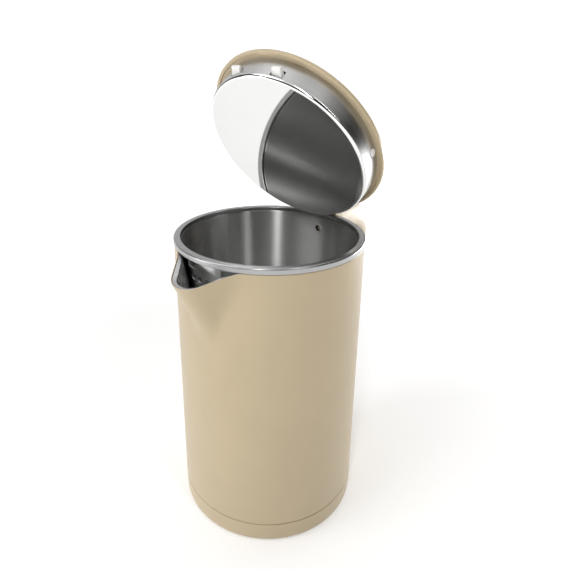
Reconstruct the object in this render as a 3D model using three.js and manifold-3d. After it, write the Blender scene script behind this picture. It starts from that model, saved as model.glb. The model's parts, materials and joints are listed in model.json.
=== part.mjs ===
// Cordless electric kettle with a steel pot inside a cool-touch plastic body.
// Millimetres. The body's axis is Z and the table is z = 0. The handle and the lid's hinge
// point to +X and the beak to -X. The kettle stands on its power base with the lid open.
import * as THREE from 'three';
import { mergeVertices } from 'three/addons/utils/BufferGeometryUtils.js';
import Module from 'manifold-3d';

const wasm = await Module();
wasm.setup();

// ---------- driving dimensions ----------

const ROUND = 32; // facets round the large turned pieces
const ROUND_INNER = 20; // facets round the smaller hidden turned pieces
const ROUND_SMALL = 8; // facets round screws, pins and posts
const FIT = 0.3; // gap between pieces that rest on or in each other

// power base
const BODY_RADIUS = 75; // outside of the base, and of the body where it stands on it
const BASE_HEIGHT = 18.4;
const BASE_WALL = 2.4;
const BASE_LIFT = 1.2; // the rim's height above the table
const BASE_EDGE = 2.4; // radius of the lower outer edge
const BASE_TOP_CHAMFER = 0.7;
const DECK_LAND = 12; // flat ring on which the kettle stands
const DECK_DISH = 2.6; // depth of the deck inside that ring
const PLATE_THICKNESS = 2;
const PAD_RADIUS = 30; // flat pad in the middle of the underside
const FOOT_RADIUS = 6;
const FOOT_INSET = 17; // a foot's centre from the base's outside
const FOOT_SINK = 1.1; // how far a foot sits in the plate
const BASE_SCREW_INSET = 29;

// 360 degree connector
const TOWER_RADIUS = 17;
const TOWER_RISE = 11.6; // tower above the dished deck
const TOWER_FLANGE = 7;
const TOWER_FLANGE_THICKNESS = 2.4;
const TOWER_BORE = 2.9; // radius of the hole for the live pin
const TOWER_GROOVE_INNER = 7.4;
const TOWER_GROOVE_OUTER = 12.2;
const TOWER_GROOVE_DEPTH = 8;
const CONTACT_WALL = 1.1;
const SOCKET_CLEARANCE = 0.6; // all round the tower
const SOCKET_WALL = 4;
const SOCKET_ROOF = 2.8;
const PIN_RADIUS = 2;

// double-walled body
const SEAM = 0.6; // gap between base and body
const BODY_HEIGHT = 215.8; // from the seam to the top edge
const BODY_TAPER = 5; // how much smaller the radius is at the top edge
const SHELL_WALL = 2.4;
const SHELL_LIP = 0.5; // bevel along the top edge
const POT_WALL = 0.7;
const POT_AIR_GAP = 1.6; // between pot and shell at the top
const POT_TAPER = 3.4; // how much narrower the pot is at its floor
const POT_CORNER = 9;
const UNDERBODY_HEIGHT = 31.6; // from the seam to the pot's floor
const FLANGE_THICKNESS = 0.8;
const RING_HEIGHT = 3.1; // rim ring above the pot's flange
const RING_SKIRT = 0.9; // thickness of the ring's outer skirt
const RING_CREST = 1.3; // rounding of the ring's edges

// beak
const BEAK_OUT = 21; // how far the tip stands out from the body's top edge
const BEAK_TIP_RADIUS = 16.3;
const BEAK_FLANK = 53.2; // angle between the axis and a flank's normal
const BEAK_DROP = 9; // the tip lies this far below the rim
const BEAK_RAKE = 0.47; // how far the ridge falls back for each unit of height
const BEAK_BLEND = 5; // hollow blend between beak and body
const LINER_WALL = 0.9;
const LINER_LIP = 3.2; // width of the steel edge along the beak
const LINER_ROWS = 6; // rows of the shell's facets that the lining covers
const LINER_TRIM = 0.7; // plastic edge left outside the steel one

// pot openings
const STRAINER_HOLE = 2.25; // radius
const STRAINER_DROP = 14.3; // the top row below the body's top edge
const STRAINER_ROW_STEP = 6.6;
const STRAINER_ROWS = [5, 4, 5, 4];
const STRAINER_PITCH = 6.3; // degrees
const STEAM_HOLE = 2.5; // radius
const STEAM_DROP = 9.8; // the steam hole below the body's top edge

// heater and controls under the pot
const HEATER_INSET = 9.9; // the plate's edge inside the pot's floor
const HEATER_THICKNESS = 3;
const ELEMENT_INSET = 10; // the element's centre line inside the plate's edge
const ELEMENT_TUBE = 3.2;
const ELEMENT_GAP_ANGLE = 50; // degrees of the circle left open
const CONTROL_RADIUS = 25;
const CONTROL_HEIGHT = 6.4;
const COVER_THICKNESS = 2.4;
const COVER_RIM = 6;
const COVER_SCREW_INSET = 10.5; // from the body's outside

// handle
const HANDLE_OUT = 60; // outside of the grip from the body's foot
const HANDLE_GRIP = 23; // thickness of the grip
const HANDLE_WIDTH = 27;
const HANDLE_RISE = 1.6; // the upper arm's top above the body's top edge
const HANDLE_TOP_ARM = 31; // height of the upper arm
const HANDLE_LOW = 31; // the lower arm's underside above the seam
const HANDLE_LOW_ARM = 28;
const HANDLE_TOP_BEND = 24; // outer bend radius at the top
const HANDLE_LOW_BEND = 34;
const HANDLE_INNER_BEND = 13;
const HANDLE_WALL = 2.4;
const HANDLE_ROUND = 2.6; // exponent of the rounded cross-section
const HANDLE_SCREW_BOSS = 12;
const HANDLE_SCREW_STEP = 11; // each screw from the steam tube's way beside it

// lid, described shut
const LID_OPEN_ANGLE = 56; // degrees
const LID_GAP = 0.6; // between lid and rim ring
const LID_INSET = 0.7; // the lid is this much smaller than the body's top
const LID_EDGE_HEIGHT = 3.4;
const LID_CROWN = 3.6;
const LID_WALL = 2.2;
const LID_STEP = 0.8; // step in the underside of the lid's edge
const PLUG_GAP = 0.9; // between the steel plug and the rim ring
const PLUG_DEPTH = 15.2;
const PLUG_TAPER = 1;
const PLUG_CORNER = 2;
const PAN_WALL = 0.7;
const CORE_WALL = 1.8;
const CORE_FLOOR = 1.5;
const LID_SCREW_SIDE = 19.7; // the two side screws inside the plug's edge
const LID_SCREW_BACK = 12.4; // the screw by the hinge inside the plug's edge
const LID_SCREW_ANGLE = 116.5; // degrees from the hinge to a side screw

// lid hinge
const HINGE_OUT = 2.8; // hinge axis outside the body's top edge
const HINGE_UP = 9; // hinge axis above the body's top edge
const HINGE_PIN_RADIUS = 1.5;
const HINGE_KNUCKLE = 3.1; // outer radius of the knuckles
const KNUCKLE_INNER = 4.2; // half the gap that holds the spring
const KNUCKLE_OUTER = 8.6;
const EAR_GAP = 0.8;
const EAR_THICKNESS = 3.6;
const EAR_DEPTH = 23; // how far an ear reaches down into the handle
const EAR_LENGTH = 14;

// latch and release button
const LATCH_OFFSET = 16.5; // each tongue's distance from the lid's centre line
const LATCH_WIDTH = 7;
const LATCH_HEIGHT = 4;
const LATCH_BITE = 1.6; // how far a tongue reaches through the pot's wall
const LATCH_THICKNESS = 2;
const LATCH_INSET = 18.4; // the slider's crossbar inside the plug's edge
const LATCH_BAR = 10.4; // width of the slider's middle bar
const LATCH_GUIDE = 20; // half the length of the rails beside that bar
const BUTTON_INSET = 26.4; // the button's middle inside the plug's edge
const BUTTON_LENGTH = 26;
const BUTTON_WIDTH = 15;
const BUTTON_STAND = 0.6; // button above the lid
const BUTTON_TRAVEL = 3;
const LATCH_TRAVEL = 4;
const SPRING_RADIUS = 2.4;
const SPRING_WIRE = 0.35;

// switch lever
const SWITCH_INSET = 15; // the lever's pivot inside the body's outside
const SWITCH_HEIGHT = 15; // the pivot above the seam
const SWITCH_OUT = 23; // the lever's tip outside the body
const SWITCH_TAIL = 7; // the lever behind its pivot
const SWITCH_WIDTH = 14;
const SWITCH_THICKNESS = 4;
const SWITCH_ANGLE = 9; // degrees of travel
const LENS_RADIUS = 2.7;
const LENS_INSET = 13; // from the lever's tip

// ---------- dimensions that follow from them ----------

const rad = THREE.MathUtils.degToRad;

const plateTop = BASE_LIFT + PLATE_THICKNESS;
const dishZ = BASE_HEIGHT - DECK_DISH;
const towerTop = dishZ + TOWER_RISE;
const shellBottom = BASE_HEIGHT + SEAM;
const shellTop = shellBottom + BODY_HEIGHT;
const shellTopRadius = BODY_RADIUS - BODY_TAPER;
const beakReach = shellTopRadius + BEAK_OUT;
const potFloor = shellBottom + UNDERBODY_HEIGHT;
const potTopRadius = shellTopRadius - SHELL_WALL - POT_AIR_GAP - POT_WALL;
const flangeBottom = shellTop + FIT;
const flangeTop = flangeBottom + FLANGE_THICKNESS;
const ringBottom = flangeTop + FIT;
const ringTop = ringBottom + RING_HEIGHT;
const ringRadius = shellTopRadius + 0.4;
const lidZ = ringTop + LID_GAP;
const lidRadius = shellTopRadius - LID_INSET;
const plugRadius = potTopRadius - PLUG_GAP;
const plugZ = lidZ - PLUG_DEPTH;
const hingeX = shellTopRadius + HINGE_OUT;
const hingeZ = shellTop + HINGE_UP;
const steamZ = shellTop - STEAM_DROP;
const handleReach = BODY_RADIUS + HANDLE_OUT;
const handleTop = shellTop + HANDLE_RISE;
const handleLow = shellBottom + HANDLE_LOW;
const buttonX = plugRadius - BUTTON_INSET;
const latchFront = plugRadius - LATCH_INSET;
const pivotX = BODY_RADIUS - SWITCH_INSET;
const pivotZ = shellBottom + SWITCH_HEIGHT;
const leverTip = BODY_RADIUS + SWITCH_OUT;

const shellRadiusAt = (z) => THREE.MathUtils.mapLinear(
  z, shellBottom, shellTop, BODY_RADIUS, shellTopRadius);
const potRadiusAt = (z) => THREE.MathUtils.mapLinear(
  z, potFloor, flangeTop, potTopRadius - POT_TAPER, potTopRadius);
const plugRadiusAt = (z) => THREE.MathUtils.mapLinear(
  z, plugZ, lidZ, plugRadius - PLUG_TAPER, plugRadius);

// ---------- geometry helpers ----------

// Shared vertices are merged and empty triangles dropped, so the skin is one closed body.
function weld(geometry) {
  geometry.deleteAttribute('normal');
  geometry.deleteAttribute('uv');
  const merged = mergeVertices(geometry, 1e-4);
  const index = merged.index.array;
  const kept = [];
  for (let i = 0; i < index.length; i += 3) {
    const [a, b, c] = index.slice(i, i + 3);
    if (a !== b && b !== c && c !== a) kept.push(a, b, c);
  }
  merged.setIndex(kept);
  return merged;
}

function toSolid(geometry) {
  const closed = weld(geometry);
  return new wasm.Manifold(new wasm.Mesh({
    numProp: 3,
    vertProperties: new Float32Array(closed.attributes.position.array),
    triVerts: new Uint32Array(closed.index.array),
  }));
}

function toGeometry(solid) {
  const mesh = solid.getMesh();
  const geometry = new THREE.BufferGeometry();
  geometry.setAttribute('position', new THREE.BufferAttribute(mesh.vertProperties, 3));
  geometry.setIndex(new THREE.BufferAttribute(mesh.triVerts, 1));
  return geometry;
}

const join = (...parts) => toGeometry(parts.map(toSolid).reduce((a, b) => a.add(b)));
const cut = (body, ...tools) => toGeometry(
  tools.map(toSolid).reduce((left, tool) => left.subtract(tool), toSolid(body)));

// A closed outline of [radius, height] points turned about Z.
function revolve(outline, segments = ROUND) {
  const loop = outline.map(([r, z]) => new THREE.Vector2(r, z));
  if (THREE.ShapeUtils.area(loop) < 0) loop.reverse();
  loop.push(loop[0].clone());
  return new THREE.LatheGeometry(loop, segments).rotateX(Math.PI / 2);
}

// Points of a rounded corner between two directions, in degrees.
function arc(cx, cy, radius, from, to, steps) {
  return Array.from({ length: steps + 1 }, (_, i) => {
    const angle = rad(from + ((to - from) * i) / steps);
    return [cx + radius * Math.cos(angle), cy + radius * Math.sin(angle)];
  });
}

const polygon = (points) => new THREE.Shape(points.map(([x, y]) => new THREE.Vector2(x, y)));

// An outline in X and Y made into a slab from one height to another.
const slab = (shape, low, high, curveSegments = 6) => new THREE.ExtrudeGeometry(
  shape, { depth: high - low, bevelEnabled: false, curveSegments }).translate(0, 0, low);

// An outline in X and Z made into a plate centred on a given y.
const plateXZ = (shape, y, thickness, curveSegments = 6) => new THREE.ExtrudeGeometry(
  shape, { depth: thickness, bevelEnabled: false, curveSegments })
  .rotateX(Math.PI / 2).translate(0, y + thickness / 2, 0);

const post = (radius, low, high, x = 0, y = 0, segments = ROUND_SMALL) =>
  new THREE.CylinderGeometry(radius, radius, high - low, segments)
    .rotateX(Math.PI / 2).translate(x, y, (low + high) / 2);

const rodX = (radius, from, to, y, z, segments = ROUND_SMALL) =>
  new THREE.CylinderGeometry(radius, radius, to - from, segments)
    .rotateZ(Math.PI / 2).translate((from + to) / 2, y, z);

const rodY = (radius, from, to, x, z, segments = ROUND_SMALL) =>
  new THREE.CylinderGeometry(radius, radius, to - from, segments)
    .translate(x, (from + to) / 2, z);

const block = (x0, x1, y0, y1, z0, z1) =>
  new THREE.BoxGeometry(x1 - x0, y1 - y0, z1 - z0)
    .translate((x0 + x1) / 2, (y0 + y1) / 2, (z0 + z1) / 2);

function stadium(length, width) {
  const shape = new THREE.Shape();
  const straight = (length - width) / 2;
  shape.absarc(0, straight, width / 2, 0, Math.PI);
  shape.absarc(0, -straight, width / 2, Math.PI, 2 * Math.PI);
  return shape;
}

// A closed skin over rings of points. A looped skin joins its last ring to its first.
function skin(rings, looped = false) {
  const count = rings[0].length;
  const index = [];
  const spans = looped ? rings.length : rings.length - 1;
  for (let i = 0; i < spans; i++) {
    const next = (i + 1) % rings.length;
    for (let j = 0; j < count; j++) {
      const k = (j + 1) % count;
      index.push(i * count + j, next * count + j, next * count + k);
      index.push(i * count + j, next * count + k, i * count + k);
    }
  }
  if (!looped) {
    index.push(...capFaces(count, 0, true));
    index.push(...capFaces(count, (rings.length - 1) * count, false));
  }
  const geometry = new THREE.BufferGeometry().setFromPoints(rings.flat());
  geometry.setIndex(index);
  return volumeOf(geometry) < 0 ? flipped(geometry) : geometry;
}

// Faces over the end of a skin, whose points run along one side and back along the other.
function capFaces(count, offset, forward) {
  return Array.from({ length: count / 2 - 1 }, (_, i) => {
    const [a, b, c, d] = [i, i + 1, count - 2 - i, count - 1 - i].map((k) => k + offset);
    return forward ? [a, b, c, a, c, d] : [a, c, b, a, d, c];
  }).flat();
}

function volumeOf(geometry) {
  const at = (i) => new THREE.Vector3().fromBufferAttribute(geometry.attributes.position, i);
  const index = geometry.index.array;
  let sum = 0;
  for (let i = 0; i < index.length; i += 3) {
    sum += at(index[i]).dot(at(index[i + 1]).cross(at(index[i + 2])));
  }
  return sum / 6;
}

function flipped(geometry) {
  const index = [];
  const old = geometry.index.array;
  for (let i = 0; i < old.length; i += 3) index.push(old[i], old[i + 2], old[i + 1]);
  geometry.setIndex(index);
  return geometry;
}

// A compression or torsion spring wound about Z.
class Helix extends THREE.Curve {
  constructor(radius, height, turns) {
    super();
    Object.assign(this, { radius, height, turns });
  }

  getPoint(t, target = new THREE.Vector3()) {
    const angle = 2 * Math.PI * this.turns * t;
    return target.set(
      this.radius * Math.cos(angle), this.radius * Math.sin(angle), this.height * t);
  }
}

// A smooth route that takes as many steps between two close points as between two far ones.
class Route extends THREE.CatmullRomCurve3 {
  getUtoTmapping(u) {
    return u;
  }
}

function coil(radius, wire, height, turns) {
  const section = new THREE.Shape().absarc(0, 0, wire, 0, 2 * Math.PI);
  return new THREE.ExtrudeGeometry(section, {
    steps: turns * 6,
    curveSegments: 2,
    extrudePath: new Helix(radius, height, turns),
  });
}

// A pan-headed screw that points up, with the underside of its head at z = 0.
function screw(shank, length, head, headHeight) {
  return revolve([
    [0, -headHeight], [head * 0.8, -headHeight], [head, -headHeight * 0.5], [head, 0],
    [shank, 0], [shank, length - shank], [0, length],
  ], ROUND_SMALL);
}

// ---------- materials ----------

const finishes = {
  cream: { color: 0xcbbc9f, roughness: 0.42, metalness: 0 },
  pale: { color: 0xf1efea, roughness: 0.45, metalness: 0 },
  grey: { color: 0x8d8a84, roughness: 0.6, metalness: 0 },
  black: { color: 0x26262a, roughness: 0.55, metalness: 0 },
  rubber: { color: 0x35343a, roughness: 0.9, metalness: 0 },
  brushed: { color: 0xa9abad, roughness: 0.34, metalness: 1 },
  mirror: { color: 0xdadcde, roughness: 0.08, metalness: 1 },
  aluminium: { color: 0xb9bcc0, roughness: 0.5, metalness: 1 },
  brass: { color: 0xb8964e, roughness: 0.35, metalness: 1 },
  spring: { color: 0x8f9296, roughness: 0.3, metalness: 1 },
  lens: { color: 0xd8e6ee, roughness: 0.2, metalness: 0 },
};

const kettle = new THREE.Group();
const lid = new THREE.Group(); // turned about the hinge
const lidInner = new THREE.Group(); // its pieces, placed as when it is shut
lid.position.set(hingeX, 0, hingeZ);
lid.rotation.y = rad(LID_OPEN_ANGLE);
lidInner.position.set(-hingeX, 0, -hingeZ);
lid.add(lidInner);
kettle.add(lid);

function add(parent, name, finish, geometry, place) {
  const material = new THREE.MeshStandardMaterial({ ...finishes[finish], flatShading: true });
  const mesh = new THREE.Mesh(weld(geometry), material);
  mesh.name = name;
  if (place) place(mesh);
  parent.add(mesh);
  return mesh;
}

const around = (count, radius, start = 0) => Array.from({ length: count }, (_, i) => {
  const angle = rad(start + (360 * i) / count);
  return [radius * Math.cos(angle), radius * Math.sin(angle)];
});

// ---------- power base ----------

const baseScrewSpots = around(3, BODY_RADIUS - BASE_SCREW_INSET, 60);
const footSpots = around(4, BODY_RADIUS - FOOT_INSET, 45);
const bossBottom = plateTop + 3 + FIT;
const baseScrew = { shank: 1.4, length: 9, head: 2.8, headHeight: 1.8, bore: 1.7 };
const baseScrewZ = BASE_LIFT + 2.4;

const gland = { bore: 3.7, neck: 5.2, flange: 6.8, flangeThickness: 2, tail: 5 };
const glandZ = BASE_HEIGHT - BASE_WALL - gland.neck - 1.1;

function baseShell() {
  const innerRadius = BODY_RADIUS - BASE_WALL;
  const landRadius = BODY_RADIUS - DECK_LAND;
  const holeRadius = TOWER_RADIUS + FIT;
  const body = revolve([
    [innerRadius, BASE_LIFT],
    ...arc(BODY_RADIUS - BASE_EDGE, BASE_LIFT + BASE_EDGE, BASE_EDGE, -90, 0, 3),
    [BODY_RADIUS, BASE_HEIGHT - BASE_TOP_CHAMFER],
    [BODY_RADIUS - BASE_TOP_CHAMFER, BASE_HEIGHT],
    [landRadius, BASE_HEIGHT],
    [landRadius - DECK_DISH, dishZ],
    [holeRadius, dishZ],
    [holeRadius, dishZ - BASE_WALL],
    [landRadius - DECK_DISH - BASE_WALL / 2, dishZ - BASE_WALL],
    [landRadius - BASE_WALL / 2, BASE_HEIGHT - BASE_WALL],
    [innerRadius, BASE_HEIGHT - BASE_WALL],
  ]);
  const bosses = baseScrewSpots.map(([x, y]) => post(4, bossBottom, dishZ - 1, x, y));
  const pilots = baseScrewSpots.map(([x, y]) =>
    post(baseScrew.bore, bossBottom - 1, baseScrewZ + baseScrew.length + 1, x, y));
  const glandHole = rodX(gland.neck + FIT, innerRadius - 4, BODY_RADIUS + 1, 0, glandZ, 16);
  return cut(join(body, ...bosses), ...pilots, glandHole);
}

function basePlate() {
  const radius = BODY_RADIUS - BASE_WALL - FIT;
  const body = revolve([
    [0, 0], [PAD_RADIUS, 0], [PAD_RADIUS + BASE_LIFT, BASE_LIFT],
    [radius, BASE_LIFT], [radius, plateTop], [0, plateTop],
  ]);
  const bosses = baseScrewSpots.map(([x, y]) => post(4.6, BASE_LIFT + 0.5, plateTop + 3, x, y));
  const stands = around(3, TOWER_RADIUS + TOWER_FLANGE / 2, 0)
    .map(([x, y]) => post(2.6, BASE_LIFT + 0.5, towerFlangeBottom() - FIT, x, y));
  const recesses = footSpots.map(([x, y]) =>
    post(FOOT_RADIUS + FIT, -1, BASE_LIFT + FOOT_SINK + FIT, x, y, 12));
  const heads = baseScrewSpots.map(([x, y]) =>
    post(baseScrew.head + FIT, -1, baseScrewZ + FIT, x, y));
  const shanks = baseScrewSpots.map(([x, y]) =>
    post(baseScrew.bore, 0, plateTop + 4, x, y));
  return cut(join(body, ...bosses, ...stands), ...recesses, ...heads, ...shanks);
}

const foot = () => revolve([
  [0, 0], [FOOT_RADIUS - 0.8, 0], [FOOT_RADIUS, 0.8],
  [FOOT_RADIUS, BASE_LIFT + FOOT_SINK], [0, BASE_LIFT + FOOT_SINK],
], 12);

function towerFlangeBottom() {
  return dishZ - BASE_WALL - FIT - TOWER_FLANGE_THICKNESS;
}

function baseConnector() {
  const flangeRadius = TOWER_RADIUS + TOWER_FLANGE;
  const grooveFloor = towerTop - TOWER_GROOVE_DEPTH;
  return revolve([
    [TOWER_BORE, towerFlangeBottom()],
    [flangeRadius, towerFlangeBottom()],
    [flangeRadius, dishZ - BASE_WALL - FIT],
    [TOWER_RADIUS, dishZ - BASE_WALL - FIT],
    [TOWER_RADIUS, towerTop - 1.2],
    [TOWER_RADIUS - 1.2, towerTop],
    [TOWER_GROOVE_OUTER, towerTop],
    [TOWER_GROOVE_OUTER, grooveFloor],
    [TOWER_GROOVE_INNER, grooveFloor],
    [TOWER_GROOVE_INNER, towerTop],
    [TOWER_BORE + 0.8, towerTop],
    [TOWER_BORE, towerTop - 0.8],
  ], ROUND_INNER);
}

const tube = (inner, outer, low, high, segments = ROUND_INNER) => revolve([
  [inner, low], [outer, low], [outer, high], [inner, high],
], segments);

function baseContactRing() {
  const outer = TOWER_GROOVE_OUTER - FIT;
  const floor = towerTop - TOWER_GROOVE_DEPTH + FIT;
  return tube(outer - CONTACT_WALL, outer, floor, towerTop - 1.5);
}

function cordGland() {
  const wallInside = BODY_RADIUS - BASE_WALL - FIT;
  const wallOutside = BODY_RADIUS + FIT;
  return revolve([
    [gland.bore, wallInside - gland.tail],
    [gland.neck, wallInside - gland.tail],
    [gland.flange - 0.8, wallInside - 2],
    [gland.flange - 0.8, wallInside - 0.4],
    [gland.neck, wallInside - 0.4],
    [gland.neck, wallOutside],
    [gland.flange, wallOutside],
    [gland.flange, wallOutside + gland.flangeThickness - 0.8],
    [gland.flange - 0.8, wallOutside + gland.flangeThickness],
    [gland.bore, wallOutside + gland.flangeThickness],
  ], 16).rotateY(Math.PI / 2).translate(0, 0, glandZ);
}

add(kettle, 'base_shell', 'cream', baseShell());
add(kettle, 'base_plate', 'grey', basePlate());
add(kettle, 'base_connector', 'black', baseConnector());
add(kettle, 'base_contact_ring', 'brass', baseContactRing());
add(kettle, 'cord_gland', 'rubber', cordGland());
footSpots.forEach(([x, y], i) => add(kettle, `base_foot_${i + 1}`, 'rubber', foot(),
  (mesh) => mesh.position.set(x, y, 0)));
baseScrewSpots.forEach(([x, y], i) => add(kettle, `base_screw_${i + 1}`, 'spring',
  screw(baseScrew.shank, baseScrew.length, baseScrew.head, baseScrew.headHeight),
  (mesh) => mesh.position.set(x, y, baseScrewZ)));

// ---------- socket under the kettle ----------

const socketInner = TOWER_RADIUS + SOCKET_CLEARANCE;
const socketOuter = socketInner + SOCKET_WALL;
const socketBottom = dishZ + FIT + 0.4;
const socketRoof = towerTop + SOCKET_CLEARANCE;
const socketTop = socketRoof + SOCKET_ROOF;

const connectorSocket = () => revolve([
  [0, socketRoof], [socketInner, socketRoof], [socketInner, socketBottom + 1],
  [socketInner + 1, socketBottom], [socketOuter, socketBottom],
  [socketOuter, socketTop - 1], [socketOuter - 1, socketTop], [0, socketTop],
], ROUND_INNER);

function socketRing() {
  const inner = TOWER_GROOVE_INNER + FIT;
  return tube(inner, inner + CONTACT_WALL, towerTop - TOWER_GROOVE_DEPTH + 2,
    socketRoof - FIT);
}

const socketPin = () => revolve([
  [0, socketRoof - FIT - 12], [PIN_RADIUS * 0.6, socketRoof - FIT - 12],
  [PIN_RADIUS, socketRoof - FIT - 11], [PIN_RADIUS, socketRoof - FIT], [0, socketRoof - FIT],
], ROUND_SMALL);

add(kettle, 'connector_socket', 'black', connectorSocket());
add(kettle, 'socket_ring', 'brass', socketRing());
add(kettle, 'socket_pin', 'brass', socketPin());

// ---------- beak outline ----------

// Distance from the axis to the beak's plan outline, offset inwards, at an angle from -X.
// Its flanks are straight lines that touch the tip's circle.
function beakOutline(angle, back, inset) {
  const flank = rad(BEAK_FLANK);
  const tip = BEAK_TIP_RADIUS - inset;
  const centre = beakReach - BEAK_TIP_RADIUS - back;
  const a = Math.abs(angle);
  const touch = Math.atan2(tip * Math.sin(flank), centre + tip * Math.cos(flank));
  if (a < touch) {
    return centre * Math.cos(a) + Math.sqrt(tip ** 2 - (centre * Math.sin(a)) ** 2);
  }
  return (centre * Math.cos(flank) + tip) / Math.max(Math.cos(a - flank), 0.2);
}

function smoothMax(a, b, blend) {
  const h = Math.max(blend - Math.abs(a - b), 0) / blend;
  return Math.max(a, b) + (h * h * blend) / 4;
}

// Half the angle over which the beak opens at the rim.
const beakHalfAngle = rad(BEAK_FLANK) - Math.acos(
  ((beakReach - BEAK_TIP_RADIUS) * Math.cos(rad(BEAK_FLANK)) + BEAK_TIP_RADIUS)
  / shellTopRadius);

// Height of the body's top edge, which dips along the beak.
function edgeHeight(angle) {
  if (Math.abs(angle) >= beakHalfAngle) return shellTop;
  const start = shellTopRadius * Math.cos(beakHalfAngle);
  const along = beakOutline(angle, 0, 0) * Math.cos(angle);
  const share = THREE.MathUtils.clamp((along - start) / (beakReach - start), 0, 1);
  return shellTop - BEAK_DROP * share ** 1.15;
}

// Distance from the axis to the body's surface, beak included, offset inwards.
function bodyRadius(angle, z, inset = 0) {
  const round = shellRadiusAt(z) - inset;
  const back = BEAK_RAKE * Math.max(edgeHeight(angle) - z, 0);
  if (Math.abs(angle) > rad(BEAK_FLANK)) return round;
  return smoothMax(round, beakOutline(angle, back, inset), BEAK_BLEND);
}

const polar = (angle, r, z) => new THREE.Vector3(-r * Math.cos(angle), r * Math.sin(angle), z);

// Angles round the body, closer together where the beak stands out.
const beakAngles = [0, 0.16, 0.32, 0.47, 0.61, 0.75, 0.88, 1].map(
  (share) => share * beakHalfAngle);
const facet = (2 * Math.PI) / ROUND;
const besideBeak = [0.6, 4.5, 9.5].map((degrees) => beakHalfAngle + rad(degrees));
const firstFacet = Math.ceil(besideBeak.at(-1) / facet + 0.3);
const roundAngles = besideBeak.concat(
  Array.from({ length: ROUND / 2 - firstFacet }, (_, i) => (firstFacet + i) * facet));
const bothSides = (half) => [...half.slice(1).reverse().map((a) => -a), ...half];

// ---------- body ----------

const beakHeights = [0, 0.14, 0.28, 0.42, 0.56, 0.7, 0.85, 1];
const beakRootZ = shellTop - BEAK_DROP - (beakReach - shellTopRadius) / BEAK_RAKE - 4;

// Heights of the shell's rows at one angle, from the beak's root up to the edge.
const rowsAt = (angle) => beakHeights.map((share) =>
  THREE.MathUtils.lerp(edgeHeight(angle) - SHELL_LIP, beakRootZ, share)).reverse();

const coverTop = shellBottom + COVER_THICKNESS;
const coverScrewCircle = BODY_RADIUS - COVER_SCREW_INSET;
const coverScrewSpots = around(3, coverScrewCircle, 60);
const coverScrew = { shank: 1.4, length: 10, head: 2.8, headHeight: 1.6, bore: 1.7 };
const coverScrewZ = shellBottom + 1.9;
const steamTube = { outer: 3, inner: 2, bore: 3 + FIT + 0.1 };
const steamExitZ = handleLow + HANDLE_WALL + steamTube.outer + 1.6;
const handleScrewTopZ = steamZ - HANDLE_SCREW_STEP;
const handleScrewLowZ = steamExitZ + HANDLE_SCREW_STEP;

// The shell's screw posts and the webs that tie them to its wall, with a margin all round.
function coverPosts(margin, low, high) {
  const wall = shellRadiusAt(coverTop) - SHELL_WALL / 2;
  return coverScrewSpots.flatMap(([x, y]) => [
    post(4.2 + margin, low, high, x, y),
    block(coverScrewCircle, wall, -1 - margin, 1 + margin, low, high)
      .rotateZ(Math.atan2(y, x)),
  ]);
}

function outerShell() {
  const rings = [...bothSides([...beakAngles, ...roundAngles]), Math.PI].map((angle) => {
    const top = edgeHeight(angle);
    const rows = rowsAt(angle);
    const outer = rows.map((z) => [bodyRadius(angle, z), z]);
    const inner = rows.map((z) => [bodyRadius(angle, z, SHELL_WALL), z]).reverse();
    const rebate = Math.abs(angle) <= beakHalfAngle ? LINER_WALL + FIT : 0;
    const lip = [
      [bodyRadius(angle, top) - SHELL_LIP, top],
      [bodyRadius(angle, top) - SHELL_LIP - 0.2, top - rebate],
      [bodyRadius(angle, top, SHELL_WALL), top - rebate - 0.01],
    ];
    const bottom = (inset) => [shellRadiusAt(shellBottom) - inset, shellBottom];
    return [bottom(0), ...outer, ...lip, ...inner.slice(1), bottom(SHELL_WALL)]
      .map(([r, z]) => polar(angle, r, z));
  });
  const posts = coverPosts(0, coverTop + FIT, coverScrewZ + coverScrew.length + 3);
  const pilots = coverScrewSpots.map(([x, y]) =>
    post(coverScrew.bore, coverTop - 1, coverScrewZ + coverScrew.length + 1, x, y));
  const through = (radius, z, sides) => rodX(radius,
    shellRadiusAt(z) - SHELL_WALL - 3, shellRadiusAt(z) + 3, 0, z, sides);
  const leverDrop = (BODY_RADIUS - pivotX) * Math.tan(rad(SWITCH_ANGLE));
  const leverSlot = block(BODY_RADIUS - 6, BODY_RADIUS + 4,
    -SWITCH_WIDTH / 2 - 1.2, SWITCH_WIDTH / 2 + 1.2,
    pivotZ - SWITCH_THICKNESS / 2 - leverDrop - 1.6, pivotZ + SWITCH_THICKNESS / 2 + 1.2);
  return cut(join(skin(rings, true), ...posts), ...pilots,
    through(steamTube.bore, steamZ, 12), through(steamTube.bore, steamExitZ, 12),
    through(1.7, handleScrewTopZ), through(1.7, handleScrewLowZ), leverSlot);
}

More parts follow.
